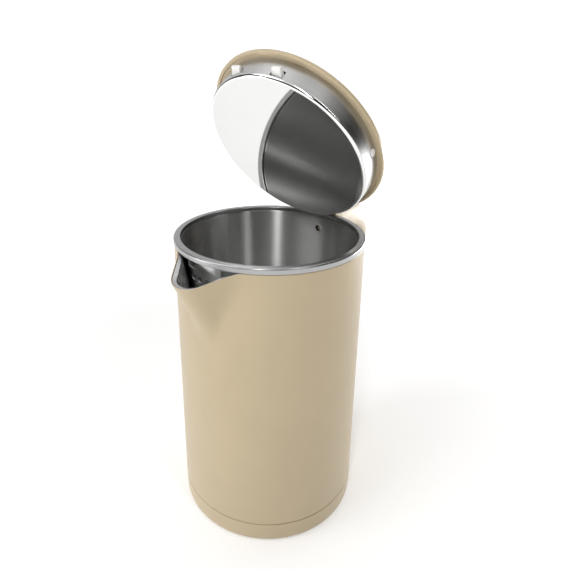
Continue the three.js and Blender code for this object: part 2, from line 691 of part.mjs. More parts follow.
function innerPot() {
  const flangeRadius = shellTopRadius - RING_SKIRT - FIT;
  const floorRadius = potRadiusAt(potFloor);
  const under = potFloor - POT_WALL;
  const body = revolve([
    [0, potFloor], [floorRadius - POT_CORNER, potFloor],
    ...arc(floorRadius - POT_CORNER, potFloor + POT_CORNER, POT_CORNER, -60, 0, 2),
    [potRadiusAt(flangeTop), flangeTop],
    [flangeRadius, flangeTop], [flangeRadius, flangeBottom],
    [potRadiusAt(flangeBottom) + POT_WALL, flangeBottom],
    [floorRadius + POT_WALL, potFloor + POT_CORNER],
    ...arc(floorRadius - POT_CORNER, potFloor + POT_CORNER, POT_CORNER + POT_WALL, -30, -60, 1),
    [floorRadius - POT_CORNER, under], [0, under],
  ]);
  const drill = (radius, z, degrees, sides) =>
    rodX(radius, -potTopRadius - 3, -potTopRadius + 8, 0, z, sides).rotateZ(rad(degrees));
  const strainer = STRAINER_ROWS.flatMap((count, row) => Array.from({ length: count },
    (_, i) => drill(STRAINER_HOLE, shellTop - STRAINER_DROP - row * STRAINER_ROW_STEP,
      (i - (count - 1) / 2) * STRAINER_PITCH, 8)));
  const catches = [-1, 1].map((side) => block(-potTopRadius - 3, -potTopRadius + 8,
    side * LATCH_OFFSET - LATCH_WIDTH / 2 - 0.7, side * LATCH_OFFSET + LATCH_WIDTH / 2 + 0.7,
    latchBottom() - 0.8, latchBottom() + LATCH_HEIGHT + 0.6));
  const steam = rodX(STEAM_HOLE, potTopRadius - 8, potTopRadius + 3, 0, steamZ);
  return cut(body, ...strainer, ...catches, steam);
}

function latchBottom() {
  return plugZ + PAN_WALL + FIT + CORE_FLOOR + FIT;
}

const rimRing = () => revolve([
  [potTopRadius, ringBottom],
  [ringRadius - RING_SKIRT, ringBottom],
  [ringRadius - RING_SKIRT, shellTop + FIT],
  [ringRadius, shellTop + FIT],
  ...arc(ringRadius - RING_CREST, ringTop - RING_CREST, RING_CREST, 0, 90, 2),
  ...arc(potTopRadius + RING_CREST, ringTop - RING_CREST, RING_CREST, 90, 180, 2),
]);

// Steel lining of the beak: a channel with a flat lip along the beak's edge. Its facets
// follow the shell's.
function spoutLiner() {
  const ends = beakHalfAngle - rad(0.3);
  const rings = bothSides([...beakAngles.slice(0, -1), ends]).map((angle) => {
    const top = edgeHeight(angle);
    const rows = rowsAt(angle).slice(-LINER_ROWS).reverse();
    const potSide = potRadiusAt(top) + POT_WALL + FIT;
    const wall = (z, inset) => [Math.max(bodyRadius(angle, z, SHELL_WALL + FIT + inset),
      potSide + LINER_WALL - inset), z];
    const lip = bodyRadius(angle, top, LINER_TRIM + FIT);
    return [
      [lip, top - LINER_WALL],
      wall(top - LINER_WALL, 0),
      ...rows.slice(1).map((z) => wall(z, 0)),
      ...rows.slice(1).reverse().map((z) => wall(z, LINER_WALL)),
      [Math.max(bodyRadius(angle, top, LINER_TRIM + LINER_LIP), potSide), top],
      [lip, top],
    ].map(([r, z]) => polar(angle, r, z));
  });
  return skin(rings);
}

add(kettle, 'outer_shell', 'cream', outerShell());
add(kettle, 'inner_pot', 'brushed', innerPot());
add(kettle, 'rim_ring', 'brushed', rimRing());
add(kettle, 'spout_liner', 'brushed', spoutLiner());

// ---------- underside and heater ----------

const pivotEar = { half: 9.2, thickness: 2.4, width: 7 };

function bottomCover() {
  const low = BASE_HEIGHT + FIT;
  const rimRadius = shellRadiusAt(coverTop + COVER_RIM) - SHELL_WALL - FIT;
  const holeRadius = socketOuter + FIT;
  const body = revolve([
    [holeRadius, low], [rimRadius, low], [rimRadius, coverTop + COVER_RIM],
    [rimRadius - 1.8, coverTop + COVER_RIM], [rimRadius - 1.8, coverTop],
    [holeRadius + 1.8, coverTop], [holeRadius + 1.8, coverTop + 4], [holeRadius, coverTop + 4],
  ]);
  const ears = [-1, 1].map((side) => plateXZ(polygon([
    [pivotX - pivotEar.width, coverTop - 1],
    [pivotX + pivotEar.width / 2, coverTop - 1],
    ...arc(pivotX, pivotZ, pivotEar.width / 2, 0, 180, 6),
  ]), side * (pivotEar.half + pivotEar.thickness / 2), pivotEar.thickness));
  const bores = coverScrewSpots.map(([x, y]) =>
    post(coverScrew.bore, low - 1, coverTop + 1, x, y));
  const heads = coverScrewSpots.map(([x, y]) =>
    post(coverScrew.head + FIT, low - 1, coverScrewZ, x, y));
  const clearPosts = coverPosts(FIT, coverTop, coverTop + COVER_RIM + 1);
  const pinHole = rodY(pinRadius + FIT, -20, 20, pivotX, pivotZ, 10);
  return cut(join(body, ...ears), ...bores, ...heads, ...clearPosts, pinHole);
}

const pinRadius = 1.5;
const switchPin = () => rodY(pinRadius, -pivotEar.half - pivotEar.thickness,
  pivotEar.half + pivotEar.thickness, pivotX, pivotZ, 10);

const plateLow = potFloor - POT_WALL - FIT - HEATER_THICKNESS;
const heaterRadius = potRadiusAt(potFloor) - HEATER_INSET;
const heaterPlate = () => revolve([
  [0, plateLow], [heaterRadius - 1, plateLow], [heaterRadius, plateLow + 1],
  [heaterRadius, plateLow + HEATER_THICKNESS], [0, plateLow + HEATER_THICKNESS],
], ROUND_INNER);

// The element follows most of a circle and its two ends turn down to the control.
function heatingElement() {
  const z = plateLow - FIT - 0.1 - ELEMENT_TUBE;
  const open = ELEMENT_GAP_ANGLE / 2;
  const ring = arc(0, 0, heaterRadius - ELEMENT_INSET, open, 360 - open, 20).map(([x, y]) =>
    new THREE.Vector3(x, y, z));
  const tail = (p, diameters) => new THREE.Vector3(
    p.x * 0.97, p.y * 0.86, z - diameters * ELEMENT_TUBE);
  const [start, end] = [ring[0], ring.at(-1)];
  const path = new THREE.CatmullRomCurve3([
    tail(start, 1.9), tail(start, 0.95), ...ring, tail(end, 0.95), tail(end, 1.9),
  ]);
  const section = new THREE.Shape().absarc(0, 0, ELEMENT_TUBE, 0, 2 * Math.PI);
  return new THREE.ExtrudeGeometry(section, { steps: 28, curveSegments: 3, extrudePath: path });
}

function thermostatControl() {
  const low = socketTop + FIT;
  const high = low + CONTROL_HEIGHT;
  const studs = around(3, CONTROL_RADIUS - 6, 30).map(([x, y]) =>
    post(2.6, high - 1, plateLow - FIT, x, y));
  const arm = block(CONTROL_RADIUS - 4, pivotX - 12, -4, 4, low, low + 3);
  return join(post(CONTROL_RADIUS, low, high, 0, 0, ROUND_INNER), arm, ...studs);
}

add(kettle, 'bottom_cover', 'cream', bottomCover());
coverScrewSpots.forEach(([x, y], i) => add(kettle, `cover_screw_${i + 1}`, 'spring',
  screw(coverScrew.shank, coverScrew.length, coverScrew.head, coverScrew.headHeight),
  (mesh) => mesh.position.set(x, y, coverScrewZ - FIT)));
add(kettle, 'heater_plate', 'aluminium', heaterPlate());
add(kettle, 'heating_element', 'spring', heatingElement());
add(kettle, 'thermostat_control', 'black', thermostatControl());
add(kettle, 'switch_pin', 'spring', switchPin());

// ---------- switch lever ----------

const lensX = leverTip - LENS_INSET;

function switchLever() {
  const half = SWITCH_THICKNESS / 2;
  const arm = plateXZ(polygon([
    [pivotX - SWITCH_TAIL, pivotZ - half], [leverTip - 12, pivotZ - half],
    [leverTip - 2, pivotZ - half - 3], [leverTip, pivotZ - half - 1.4],
    [leverTip - 9, pivotZ + half], [pivotX - SWITCH_TAIL, pivotZ + half],
  ]), 0, SWITCH_WIDTH);
  const hub = rodY(pinRadius + FIT + 1.6, -pivotEar.half + FIT, pivotEar.half - FIT,
    pivotX, pivotZ);
  const bore = rodY(pinRadius + FIT, -20, 20, pivotX, pivotZ, 10);
  const lensHole = post(LENS_RADIUS + FIT, pivotZ - 9, pivotZ + 9, lensX, 0);
  return cut(join(arm, hub), bore, lensHole);
}

const indicatorLens = () => revolve([
  [0, pivotZ - SWITCH_THICKNESS / 2], [LENS_RADIUS, pivotZ - SWITCH_THICKNESS / 2],
  [LENS_RADIUS, pivotZ + SWITCH_THICKNESS / 2], [LENS_RADIUS * 0.6, pivotZ + 2.6],
  [0, pivotZ + 2.9],
], ROUND_SMALL).translate(lensX, 0, 0);

add(kettle, 'switch_lever', 'cream', switchLever());
add(kettle, 'indicator_lens', 'lens', indicatorLens());

// ---------- handle ----------

// The handle's outer and inner outlines in the XZ plane, as matching runs of points.
function handleRails() {
  const root = shellTopRadius - 3;
  const innerX = handleReach - HANDLE_GRIP;
  const lowTop = handleLow + HANDLE_LOW_ARM;
  const topLow = handleTop - HANDLE_TOP_ARM;
  const topBend = [handleReach - HANDLE_TOP_BEND, handleTop - HANDLE_TOP_BEND];
  const lowBend = [handleReach - HANDLE_LOW_BEND, handleLow + HANDLE_LOW_BEND];
  const b = HANDLE_INNER_BEND;
  const middle = (handleTop + handleLow) / 2;
  const outer = [
    [root, handleTop], [(root + topBend[0]) / 2, handleTop],
    ...arc(...topBend, HANDLE_TOP_BEND, 90, 0, 5),
    [handleReach, middle],
    ...arc(...lowBend, HANDLE_LOW_BEND, 0, -90, 5),
    [(root + lowBend[0]) / 2, handleLow], [root, handleLow],
  ];
  const inner = [
    [root, topLow], [(root + innerX - b) / 2, topLow],
    ...arc(innerX - b, topLow - b, b, 90, 0, 5),
    [innerX, middle],
    ...arc(innerX - b, lowTop + b, b, 0, -90, 5),
    [(root + innerX - b) / 2, lowTop], [root, lowTop],
  ];
  return outer.map((o, i) => [new THREE.Vector2(...o), new THREE.Vector2(...inner[i])]);
}

// A rounded cross-section between the rails. side is 1 for the outer half, -1 for the inner.
function handleRing([outer, inner], side) {
  const centre = outer.clone().add(inner).multiplyScalar(0.5);
  const half = outer.clone().sub(inner).multiplyScalar(0.5);
  const reach = half.length();
  const width = HANDLE_WIDTH / 2;
  const steps = 7;
  const at = (turn, depth, spread) => {
    const u = Math.abs(Math.sin(turn)) ** (2 / HANDLE_ROUND) * (depth / reach);
    const v = Math.sign(Math.cos(turn)) * Math.abs(Math.cos(turn)) ** (2 / HANDLE_ROUND) * spread;
    const seam = FIT / 2 / reach;
    const p = centre.clone().addScaledVector(half, side * Math.max(u, seam));
    return new THREE.Vector3(p.x, v, p.y);
  };
  const turns = Array.from({ length: steps + 1 }, (_, i) => (Math.PI * i) / steps);
  const skinPoints = turns.map((t) => at(t, reach, width));
  const wallPoints = turns.map((t) => at(t, reach - HANDLE_WALL, width - HANDLE_WALL));
  return [...skinPoints, ...wallPoints.reverse()];
}

// The solid that the body takes up, so that the handle ends on its surface.
const bodyEnvelope = () => revolve([
  [0, -10], [shellRadiusAt(-10) + FIT, -10],
  [shellRadiusAt(shellTop) + FIT, shellTop],
  [ringRadius + FIT, shellTop], [ringRadius + FIT, ringTop + 20], [0, ringTop + 20],
]);

const ears = [-1, 1].map((side) => side * (KNUCKLE_OUTER + EAR_GAP + EAR_THICKNESS / 2));

function handleOuter() {
  const body = skin(handleRails().map((rail) => handleRing(rail, 1)));
  const front = ringRadius + FIT + 0.1;
  const earPlates = ears.map((y) => plateXZ(polygon([
    [front, hingeZ - EAR_DEPTH], [front + EAR_LENGTH, hingeZ - EAR_DEPTH],
    [front + EAR_LENGTH, handleTop - 4],
    ...arc(hingeX, hingeZ, HINGE_KNUCKLE, 40, 175, 7),
    [front, hingeZ - HINGE_KNUCKLE - 1.2],
  ]), y, EAR_THICKNESS));
  const inside = HANDLE_WIDTH / 2 - HANDLE_WALL - 2.6;
  const screwPost = (z, length) => rodX(3.6, shellTopRadius - 2, shellTopRadius + length, 0, z);
  const bulkhead = (low, high, back) => block(
    shellTopRadius - 2, back, -inside, inside, low, high);
  const posts = [
    screwPost(handleScrewTopZ, HANDLE_SCREW_BOSS + 4),
    bulkhead(handleScrewTopZ - 1, handleTop - 1, front + HANDLE_WALL),
    screwPost(handleScrewLowZ, HANDLE_SCREW_BOSS + 6),
    bulkhead(handleLow + 1.5, handleScrewLowZ + 2, shellRadiusAt(handleLow) + 3),
  ];
  const pilot = (z) => rodX(1.7, shellTopRadius - 4,
    shellRadiusAt(z) + HANDLE_SCREW_BOSS, 0, z, 10);
  const pinHole = rodY(HINGE_PIN_RADIUS + FIT, -20, 20, hingeX, hingeZ);
  const steamWays = [steamZ, steamExitZ].map((z) => rodX(
    steamTube.bore, shellTopRadius - 4, shellTopRadius + 14, 0, z, 12));
  const joined = join(body, ...earPlates, ...posts);
  return cut(joined, bodyEnvelope(), pilot(handleScrewTopZ), pilot(handleScrewLowZ),
    pinHole, ...steamWays);
}

const handleInner = () => cut(
  skin(handleRails().map((rail) => handleRing(rail, -1))), bodyEnvelope());

// The steam tube runs from the hole in the pot through the handle to the control.
function steamPipe() {
  const gripX = handleReach - HANDLE_GRIP / 2;
  const wall = BODY_RADIUS;
  const underPot = potFloor - POT_WALL - steamTube.outer;
  const controlSide = CONTROL_RADIUS + FIT;
  const controlZ = socketTop + FIT + CONTROL_HEIGHT - 1.9;
  const points = [
    [potTopRadius + POT_WALL + FIT, 0, steamZ], [shellTopRadius + 14, 0, steamZ],
    [gripX - 12, 0, steamZ - 3], [gripX - 1.5, 0, steamZ - 18], [gripX, 0, steamZ - 40],
    [gripX, 0, steamExitZ + 46], [gripX - 3, 0, steamExitZ + 22],
    [gripX - 14, 0, steamExitZ + 6], [gripX - 31, 0, steamExitZ],
    [wall + 3, 0, steamExitZ], [wall - 4, 0, steamExitZ], [wall - 7.8, 0.2, steamExitZ - 1.4],
    [wall - 11, 0.8, steamExitZ - 5], [wall - 14, 2, underPot + 0.1],
    [wall - 18, 3.4, underPot - 4.6], [controlSide + 24, 5, underPot - 6.2],
    [controlSide + 16, 6.5, underPot - 7.4], [controlSide + 8, 8, underPot - 9.2],
    [controlSide, 9, controlZ],
  ].map((p) => new THREE.Vector3(...p));
  const section = new THREE.Shape().absarc(0, 0, steamTube.outer, 0, 2 * Math.PI);
  section.holes.push(new THREE.Path().absarc(0, 0, steamTube.inner, 0, 2 * Math.PI, true));
  return new THREE.ExtrudeGeometry(section, {
    steps: 36, curveSegments: 3, extrudePath: new Route(points),
  });
}

const handleScrew = { shank: 1.4, length: 12, head: 3, headHeight: 1.1 };
const handleScrewAt = (z) => (mesh) => {
  mesh.rotation.y = Math.PI / 2;
  mesh.position.set(shellRadiusAt(z) - SHELL_WALL - FIT, 0, z);
};
const handleScrewBody = () =>
  screw(handleScrew.shank, handleScrew.length, handleScrew.head, handleScrew.headHeight);

add(kettle, 'handle_outer', 'cream', handleOuter());
add(kettle, 'handle_inner', 'cream', handleInner());
add(kettle, 'handle_screw_top', 'spring', handleScrewBody(), handleScrewAt(handleScrewTopZ));
add(kettle, 'handle_screw_low', 'spring', handleScrewBody(), handleScrewAt(handleScrewLowZ));
add(kettle, 'steam_tube', 'rubber', steamPipe());
add(kettle, 'hinge_pin', 'spring', rodY(HINGE_PIN_RADIUS, ears[0] - EAR_THICKNESS / 2,
  ears[1] + EAR_THICKNESS / 2, hingeX, hingeZ));
add(kettle, 'hinge_spring', 'spring',
  coil(HINGE_PIN_RADIUS + FIT + SPRING_WIRE + 0.1, SPRING_WIRE, 2 * KNUCKLE_INNER - 1.4, 4)
    .rotateX(Math.PI / 2).translate(hingeX, KNUCKLE_INNER - 0.7, hingeZ));

// ---------- lid ----------

const lidTopAt = (r) => lidZ + LID_EDGE_HEIGHT + LID_CROWN * (1 - (r / lidRadius) ** 2);
const buttonTop = lidTopAt(buttonX) + BUTTON_STAND;
const coreTop = lidZ - 4;
const lidScrewSpots = [
  ...around(1, plugRadius - LID_SCREW_SIDE, LID_SCREW_ANGLE),
  ...around(1, plugRadius - LID_SCREW_SIDE, -LID_SCREW_ANGLE),
  [plugRadius - LID_SCREW_BACK, 0],
];
const lidScrew = { shank: 1.4, length: 13, head: 2.8, headHeight: 1.6, bore: 1.7 };
const coreFloorZ = plugZ + PAN_WALL + FIT;
const lidScrewZ = coreFloorZ + 2.2;

function lidShell() {
  const rings = [1, 0.76, 0.42];
  const outer = rings.map((share) => [lidRadius * share - 0.6, lidTopAt(lidRadius * share)]);
  const inner = rings.map((share) =>
    [(plugRadius + FIT) * share, lidTopAt(plugRadius * share) - LID_WALL]).reverse();
  const body = revolve([
    [plugRadius + FIT, lidZ + LID_STEP],
    [plugRadius + 2.6, lidZ + LID_STEP],
    [plugRadius + 2.6 + LID_STEP / 2, lidZ],
    [lidRadius - 0.5, lidZ],
    [lidRadius, lidZ + 0.5],
    [lidRadius, lidZ + LID_EDGE_HEIGHT - 0.6],
    ...outer,
    [0, lidTopAt(0)],
    [0, lidTopAt(0) - LID_WALL],
    ...inner,
  ]);
  const knuckles = [-1, 1].map((side) => {
    const y = (side * (KNUCKLE_INNER + KNUCKLE_OUTER)) / 2;
    return plateXZ(polygon([
      [lidRadius - 2.4, hingeZ - 2], [hingeX - 2.2, hingeZ - 2.2],
      ...arc(hingeX, hingeZ, HINGE_KNUCKLE, -130, 110, 12),
      [lidRadius - 2.4, hingeZ + 1],
    ]), y, KNUCKLE_OUTER - KNUCKLE_INNER);
  });
  const bosses = lidScrewSpots.map(([x, y]) =>
    post(3.6, coreTop + FIT, lidTopAt(Math.hypot(x, y)) - 1, x, y));
  const pilots = lidScrewSpots.map(([x, y]) =>
    post(lidScrew.bore, coreTop - 1, lidScrewZ + lidScrew.length + 0.6, x, y));
  const pinHole = rodY(HINGE_PIN_RADIUS + FIT, -20, 20, hingeX, hingeZ);
  const window = slab(stadium(BUTTON_LENGTH + 0.8, BUTTON_WIDTH + 0.8), lidZ, buttonTop + 5)
    .translate(buttonX, 0, 0);
  return cut(join(body, ...knuckles, ...bosses), ...pilots, pinHole, window);
}

const latchWindows = (low, high, margin) => [-1, 1].map((side) => block(
  -plugRadius - 2, -plugRadius + 12,
  side * LATCH_OFFSET - LATCH_WIDTH / 2 - margin, side * LATCH_OFFSET + LATCH_WIDTH / 2 + margin,
  low, high));
const bumper = { radius: 2.8, z: lidZ - 2.7 };
const bumperHoles = () => [rodY(bumper.radius + FIT, -plugRadius - 3, -plugRadius + 6, 0, bumper.z),
  rodY(bumper.radius + FIT, plugRadius - 6, plugRadius + 3, 0, bumper.z)];

// The steel pan that closes the lid's underside: a polished disc with a tapered band.
function lidPan() {
  const low = plugRadiusAt(plugZ);
  const top = lidZ + LID_STEP + 0.6;
  const body = revolve([
    [0, plugZ], [low - PLUG_CORNER, plugZ],
    ...arc(low - PLUG_CORNER, plugZ + PLUG_CORNER, PLUG_CORNER, -60, 0, 2),
    [plugRadiusAt(lidZ), lidZ], [plugRadiusAt(lidZ), top],
    [plugRadiusAt(lidZ) - PAN_WALL, top], [plugRadiusAt(lidZ) - PAN_WALL, lidZ],
    [plugRadiusAt(plugZ + PLUG_CORNER) - PAN_WALL, plugZ + PLUG_CORNER],
    [low - PLUG_CORNER, plugZ + PAN_WALL],
    [0, plugZ + PAN_WALL],
  ]);
  return cut(body, ...latchWindows(latchBottom() - 0.6, latchBottom() + LATCH_HEIGHT + 1.2, 0.9),
    ...bumperHoles());
}

const springPedestals = [-1, 1].map((side) => [buttonX, side * 9.4]);
const pedestalTop = coreFloorZ + 6.2;
const latchSpringPosts = { x: -latchFront + 19, y: 12, thickness: 2.2 };

function lidCore() {
  const wallAt = (z) => plugRadiusAt(z) - PAN_WALL - FIT;
  const low = coreFloorZ;
  const floor = low + CORE_FLOOR;
  const bottomRadius = wallAt(low + PLUG_CORNER) - 1.6;
  const body = revolve([
    [0, low], [bottomRadius - 1, low], [wallAt(low + PLUG_CORNER) - 0.4, low + PLUG_CORNER],
    [wallAt(coreTop), coreTop], [wallAt(coreTop) - CORE_WALL, coreTop],
    [bottomRadius - CORE_WALL, floor], [0, floor],
  ]);
  const columns = lidScrewSpots.map(([x, y]) => post(4.6, low + 0.4, coreTop, x, y));
  const pedestals = springPedestals.map(([x, y]) => post(3.2, low + 0.4, pedestalTop, x, y));
  const { x, y, thickness } = latchSpringPosts;
  const guideInner = LATCH_BAR / 2 + 1.2;
  const stops = [-1, 1].map((side) => block(
    x, x + thickness, side * y - 4, side * y + 4, low + 0.4, latchBottom() + LATCH_HEIGHT + 1.4));
  const guides = [-1, 1].map((side) =>
    block(-LATCH_GUIDE, LATCH_GUIDE, side * guideInner, side * (guideInner + 1.6), low + 0.4,
      latchBottom() + LATCH_THICKNESS + 0.4));
  const shanks = lidScrewSpots.map(([sx, sy]) =>
    post(lidScrew.bore, low - 1, coreTop + 1, sx, sy));
  const heads = lidScrewSpots.map(([sx, sy]) =>
    post(lidScrew.head + FIT, low - 1, lidScrewZ, sx, sy));
  return cut(join(body, ...columns, ...pedestals, ...stops, ...guides), ...shanks, ...heads,
    ...latchWindows(latchBottom() - FIT, coreTop + 1, 1), ...bumperHoles());
}

// The slider carries both tongues. Its ramp turns the button's stroke into the latch's.
const stemHalf = 2.5;
const rampFoot = {
  x: buttonX - stemHalf - LATCH_TRAVEL - 0.4, z: latchBottom() + LATCH_THICKNESS,
};
const rampEnd = buttonX + stemHalf + 0.7;
const rampRise = (x) => rampFoot.z + ((x - rampFoot.x) * BUTTON_TRAVEL) / LATCH_TRAVEL;

function latchSlider() {
  const low = latchBottom();
  const top = low + LATCH_THICKNESS;
  const bar = block(-latchFront, rampEnd + 0.8, -LATCH_BAR / 2, LATCH_BAR / 2, low, top);
  const cross = block(-latchFront, -latchFront + 6,
    -LATCH_OFFSET - LATCH_WIDTH / 2, LATCH_OFFSET + LATCH_WIDTH / 2, low, top);
  const tipRadius = potRadiusAt(low) + POT_WALL + LATCH_BITE;
  const tipX = Math.sqrt(tipRadius ** 2 - LATCH_OFFSET ** 2);
  const tongues = [-1, 1].map((side) => plateXZ(polygon([
    [-latchFront + 1, low], [-tipX + 5, low], [-tipX, low + LATCH_HEIGHT * 0.6],
    [-tipX, low + LATCH_HEIGHT], [-tipX + 7, low + LATCH_HEIGHT], [-tipX + 10, top],
    [-latchFront + 1, top],
  ]), side * LATCH_OFFSET, LATCH_WIDTH));
  const ramp = plateXZ(polygon([
    [rampFoot.x, top - 0.5], [rampEnd, top - 0.5], [rampEnd, rampRise(rampEnd)],
    [rampFoot.x, rampFoot.z],
  ]), 0, 8);
  return join(bar, cross, ...tongues, ramp);
}

function lidButton() {
  const under = lidTopAt(buttonX) - LID_WALL - FIT;
  const cap = slab(stadium(BUTTON_LENGTH, BUTTON_WIDTH), under - 1.5, buttonTop - 0.8)
    .translate(buttonX, 0, 0);
  const crown = slab(stadium(BUTTON_LENGTH - 1.6, BUTTON_WIDTH - 1.6), buttonTop - 1, buttonTop)
    .translate(buttonX, 0, 0);
  const flange = slab(stadium(BUTTON_LENGTH + 4, BUTTON_WIDTH + 4), under - 1.8, under - 0.8)
    .translate(buttonX, 0, 0);
  const lift = FIT * 1.3;
  const stem = plateXZ(polygon([
    [buttonX - stemHalf, rampRise(buttonX - stemHalf) + lift],
    [buttonX + stemHalf, rampRise(buttonX + stemHalf) + lift],
    [buttonX + stemHalf, under - 1], [buttonX - stemHalf, under - 1],
  ]), 0, 7);
  return join(cap, crown, flange, stem);
}

const buttonSpringTop = lidTopAt(buttonX) - LID_WALL - FIT - 1.8;
const springGap = SPRING_WIRE + 0.2;
const bumperBody = () => revolve([
  [0, potTopRadius - 4.4], [bumper.radius, potTopRadius - 4.4],
  [bumper.radius, potTopRadius - 1], [bumper.radius - 0.8, potTopRadius - 0.3],
  [0, potTopRadius - 0.3],
], ROUND_SMALL);

add(lidInner, 'lid_shell', 'cream', lidShell());
add(lidInner, 'lid_pan', 'mirror', lidPan());
add(lidInner, 'lid_core', 'pale', lidCore());
add(lidInner, 'latch_slider', 'pale', latchSlider());
add(lidInner, 'lid_button', 'cream', lidButton());
lidScrewSpots.forEach(([x, y], i) => add(lidInner, `lid_screw_${i + 1}`, 'spring',
  screw(lidScrew.shank, lidScrew.length, lidScrew.head, lidScrew.headHeight),
  (mesh) => mesh.position.set(x, y, lidScrewZ - FIT)));
['left', 'right'].forEach((name, i) => {
  const side = i ? -1 : 1;
  add(lidInner, `lid_bumper_${name}`, 'pale', bumperBody(), (mesh) => {
    mesh.rotation.x = (-side * Math.PI) / 2;
    mesh.position.set(0, 0, bumper.z);
  });
  add(lidInner, `button_spring_${name}`, 'spring',
    coil(SPRING_RADIUS, SPRING_WIRE, buttonSpringTop - pedestalTop - 2 * springGap, 3),
    (mesh) => mesh.position.set(buttonX, side * 9.4, pedestalTop + springGap));
  const from = -latchFront + 6 + springGap;
  add(lidInner, `latch_spring_${name}`, 'spring',
    coil(SPRING_RADIUS - 0.6, SPRING_WIRE, latchSpringPosts.x - springGap - from, 3), (mesh) => {
      mesh.rotation.y = Math.PI / 2;
      mesh.position.set(from, side * latchSpringPosts.y, latchBottom() + SPRING_RADIUS);
    });
});

export default kettle;
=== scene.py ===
"""Looks of a cordless electric kettle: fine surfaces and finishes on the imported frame.

The body's axis is Z. The handle and the lid's hinge are on +X and the beak is on -X.
Shapes are worked out in millimetres and stored in metres.
"""
import json
from math import acos, atan2, copysign, cos, pi, radians, sin, sqrt, tan

import bmesh
import bpy
from mathutils import Matrix, Vector


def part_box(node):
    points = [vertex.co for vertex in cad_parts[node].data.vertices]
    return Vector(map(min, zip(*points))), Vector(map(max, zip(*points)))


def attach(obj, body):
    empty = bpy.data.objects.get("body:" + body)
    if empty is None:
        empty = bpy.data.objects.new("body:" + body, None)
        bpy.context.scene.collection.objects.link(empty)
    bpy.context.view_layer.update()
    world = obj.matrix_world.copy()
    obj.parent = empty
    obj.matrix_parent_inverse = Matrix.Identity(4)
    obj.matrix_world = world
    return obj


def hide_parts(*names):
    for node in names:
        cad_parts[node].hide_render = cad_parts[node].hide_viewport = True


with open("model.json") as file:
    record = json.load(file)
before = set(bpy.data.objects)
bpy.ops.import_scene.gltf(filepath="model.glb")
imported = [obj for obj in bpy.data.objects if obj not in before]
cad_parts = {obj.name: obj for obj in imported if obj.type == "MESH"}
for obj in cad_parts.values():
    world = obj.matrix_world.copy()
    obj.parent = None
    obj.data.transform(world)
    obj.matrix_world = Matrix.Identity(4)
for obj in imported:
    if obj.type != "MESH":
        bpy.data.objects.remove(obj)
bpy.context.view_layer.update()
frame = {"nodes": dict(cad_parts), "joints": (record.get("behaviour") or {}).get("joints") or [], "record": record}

MM = 0.001


# ---------- camera ----------

HEADING = radians(51.0)  # the camera looks from beside the beak
PITCH = 0.442  # radians below the horizon
CAMERA_TURN, CAMERA_ROLL = 0.010, -0.011
CAMERA_OUT, CAMERA_UP = 339.8 * MM, 356.2 * MM
SENSOR_WIDTH, LENS = 36, 30.44
SHIFT_X, SHIFT_Y = 0.0188, 0.0005
NEAREST = 10 * MM


def place_camera():
    camera = bpy.data.objects.new("camera", bpy.data.cameras.new("camera"))
    bpy.context.scene.collection.objects.link(camera)
    camera.data.sensor_width = SENSOR_WIDTH
    camera.data.lens = LENS
    camera.data.shift_x, camera.data.shift_y = SHIFT_X, SHIFT_Y
    camera.data.clip_start = NEAREST
    camera.data.dof.use_dof = False
    turn = (Matrix.Rotation(-HEADING - CAMERA_TURN, 4, "Z")
            @ Matrix.Rotation(pi / 2 - PITCH, 4, "X")
            @ Matrix.Rotation(-CAMERA_ROLL, 4, "Z"))
    out = Vector((-sin(HEADING), -cos(HEADING), 0)) * CAMERA_OUT
    camera.matrix_world = Matrix.Translation(out + Vector((0, 0, CAMERA_UP))) @ turn
    bpy.context.scene.camera = camera


place_camera()


# ---------- shaders ----------

class Value:
    """A number that varies over a surface. Arithmetic on it adds Math nodes."""

    def __init__(self, finish, socket):
        self.finish = finish
        self.socket = socket

    def math(self, operation, first, second=0.0):
        node = self.finish.node("ShaderNodeMath", {"operation": operation}, [first, second])
        return Value(self.finish, node.outputs[0])

    def __add__(self, other):
        return self.math("ADD", self, other)

    __radd__ = __add__

    def __sub__(self, other):
        return self.math("SUBTRACT", self, other)

    def __rsub__(self, other):
        return self.math("SUBTRACT", other, self)

    def __mul__(self, other):
        return self.math("MULTIPLY", self, other)

    def __truediv__(self, other):
        return self.math("DIVIDE", self, other)

    def __pow__(self, other):
        return self.math("POWER", self, other)


class Shading:
    """Builds nodes into one shader tree."""

    def __init__(self, tree):
        self.tree = tree

    def node(self, kind, settings=None, inputs=None):
        node = self.tree.nodes.new(kind)
        for key, value in (settings or {}).items():
            setattr(node, key, value)
        entries = inputs.items() if isinstance(inputs, dict) else enumerate(inputs or [])
        for key, value in entries:
            self.connect(node.inputs[key], value)
        return node

    def connect(self, socket, value):
        if isinstance(value, Value):
            value = value.socket
        if isinstance(value, bpy.types.NodeSocket):
            self.tree.links.new(value, socket)
        else:
            socket.default_value = value

    def clipped(self, value, low, high):
        """0 below low and 1 above high, with a smooth step between them."""
        node = self.node("ShaderNodeMapRange", {"interpolation_type": "SMOOTHSTEP"}, [
            value, low, high, 0.0, 1.0])
        return Value(self, node.outputs[0])


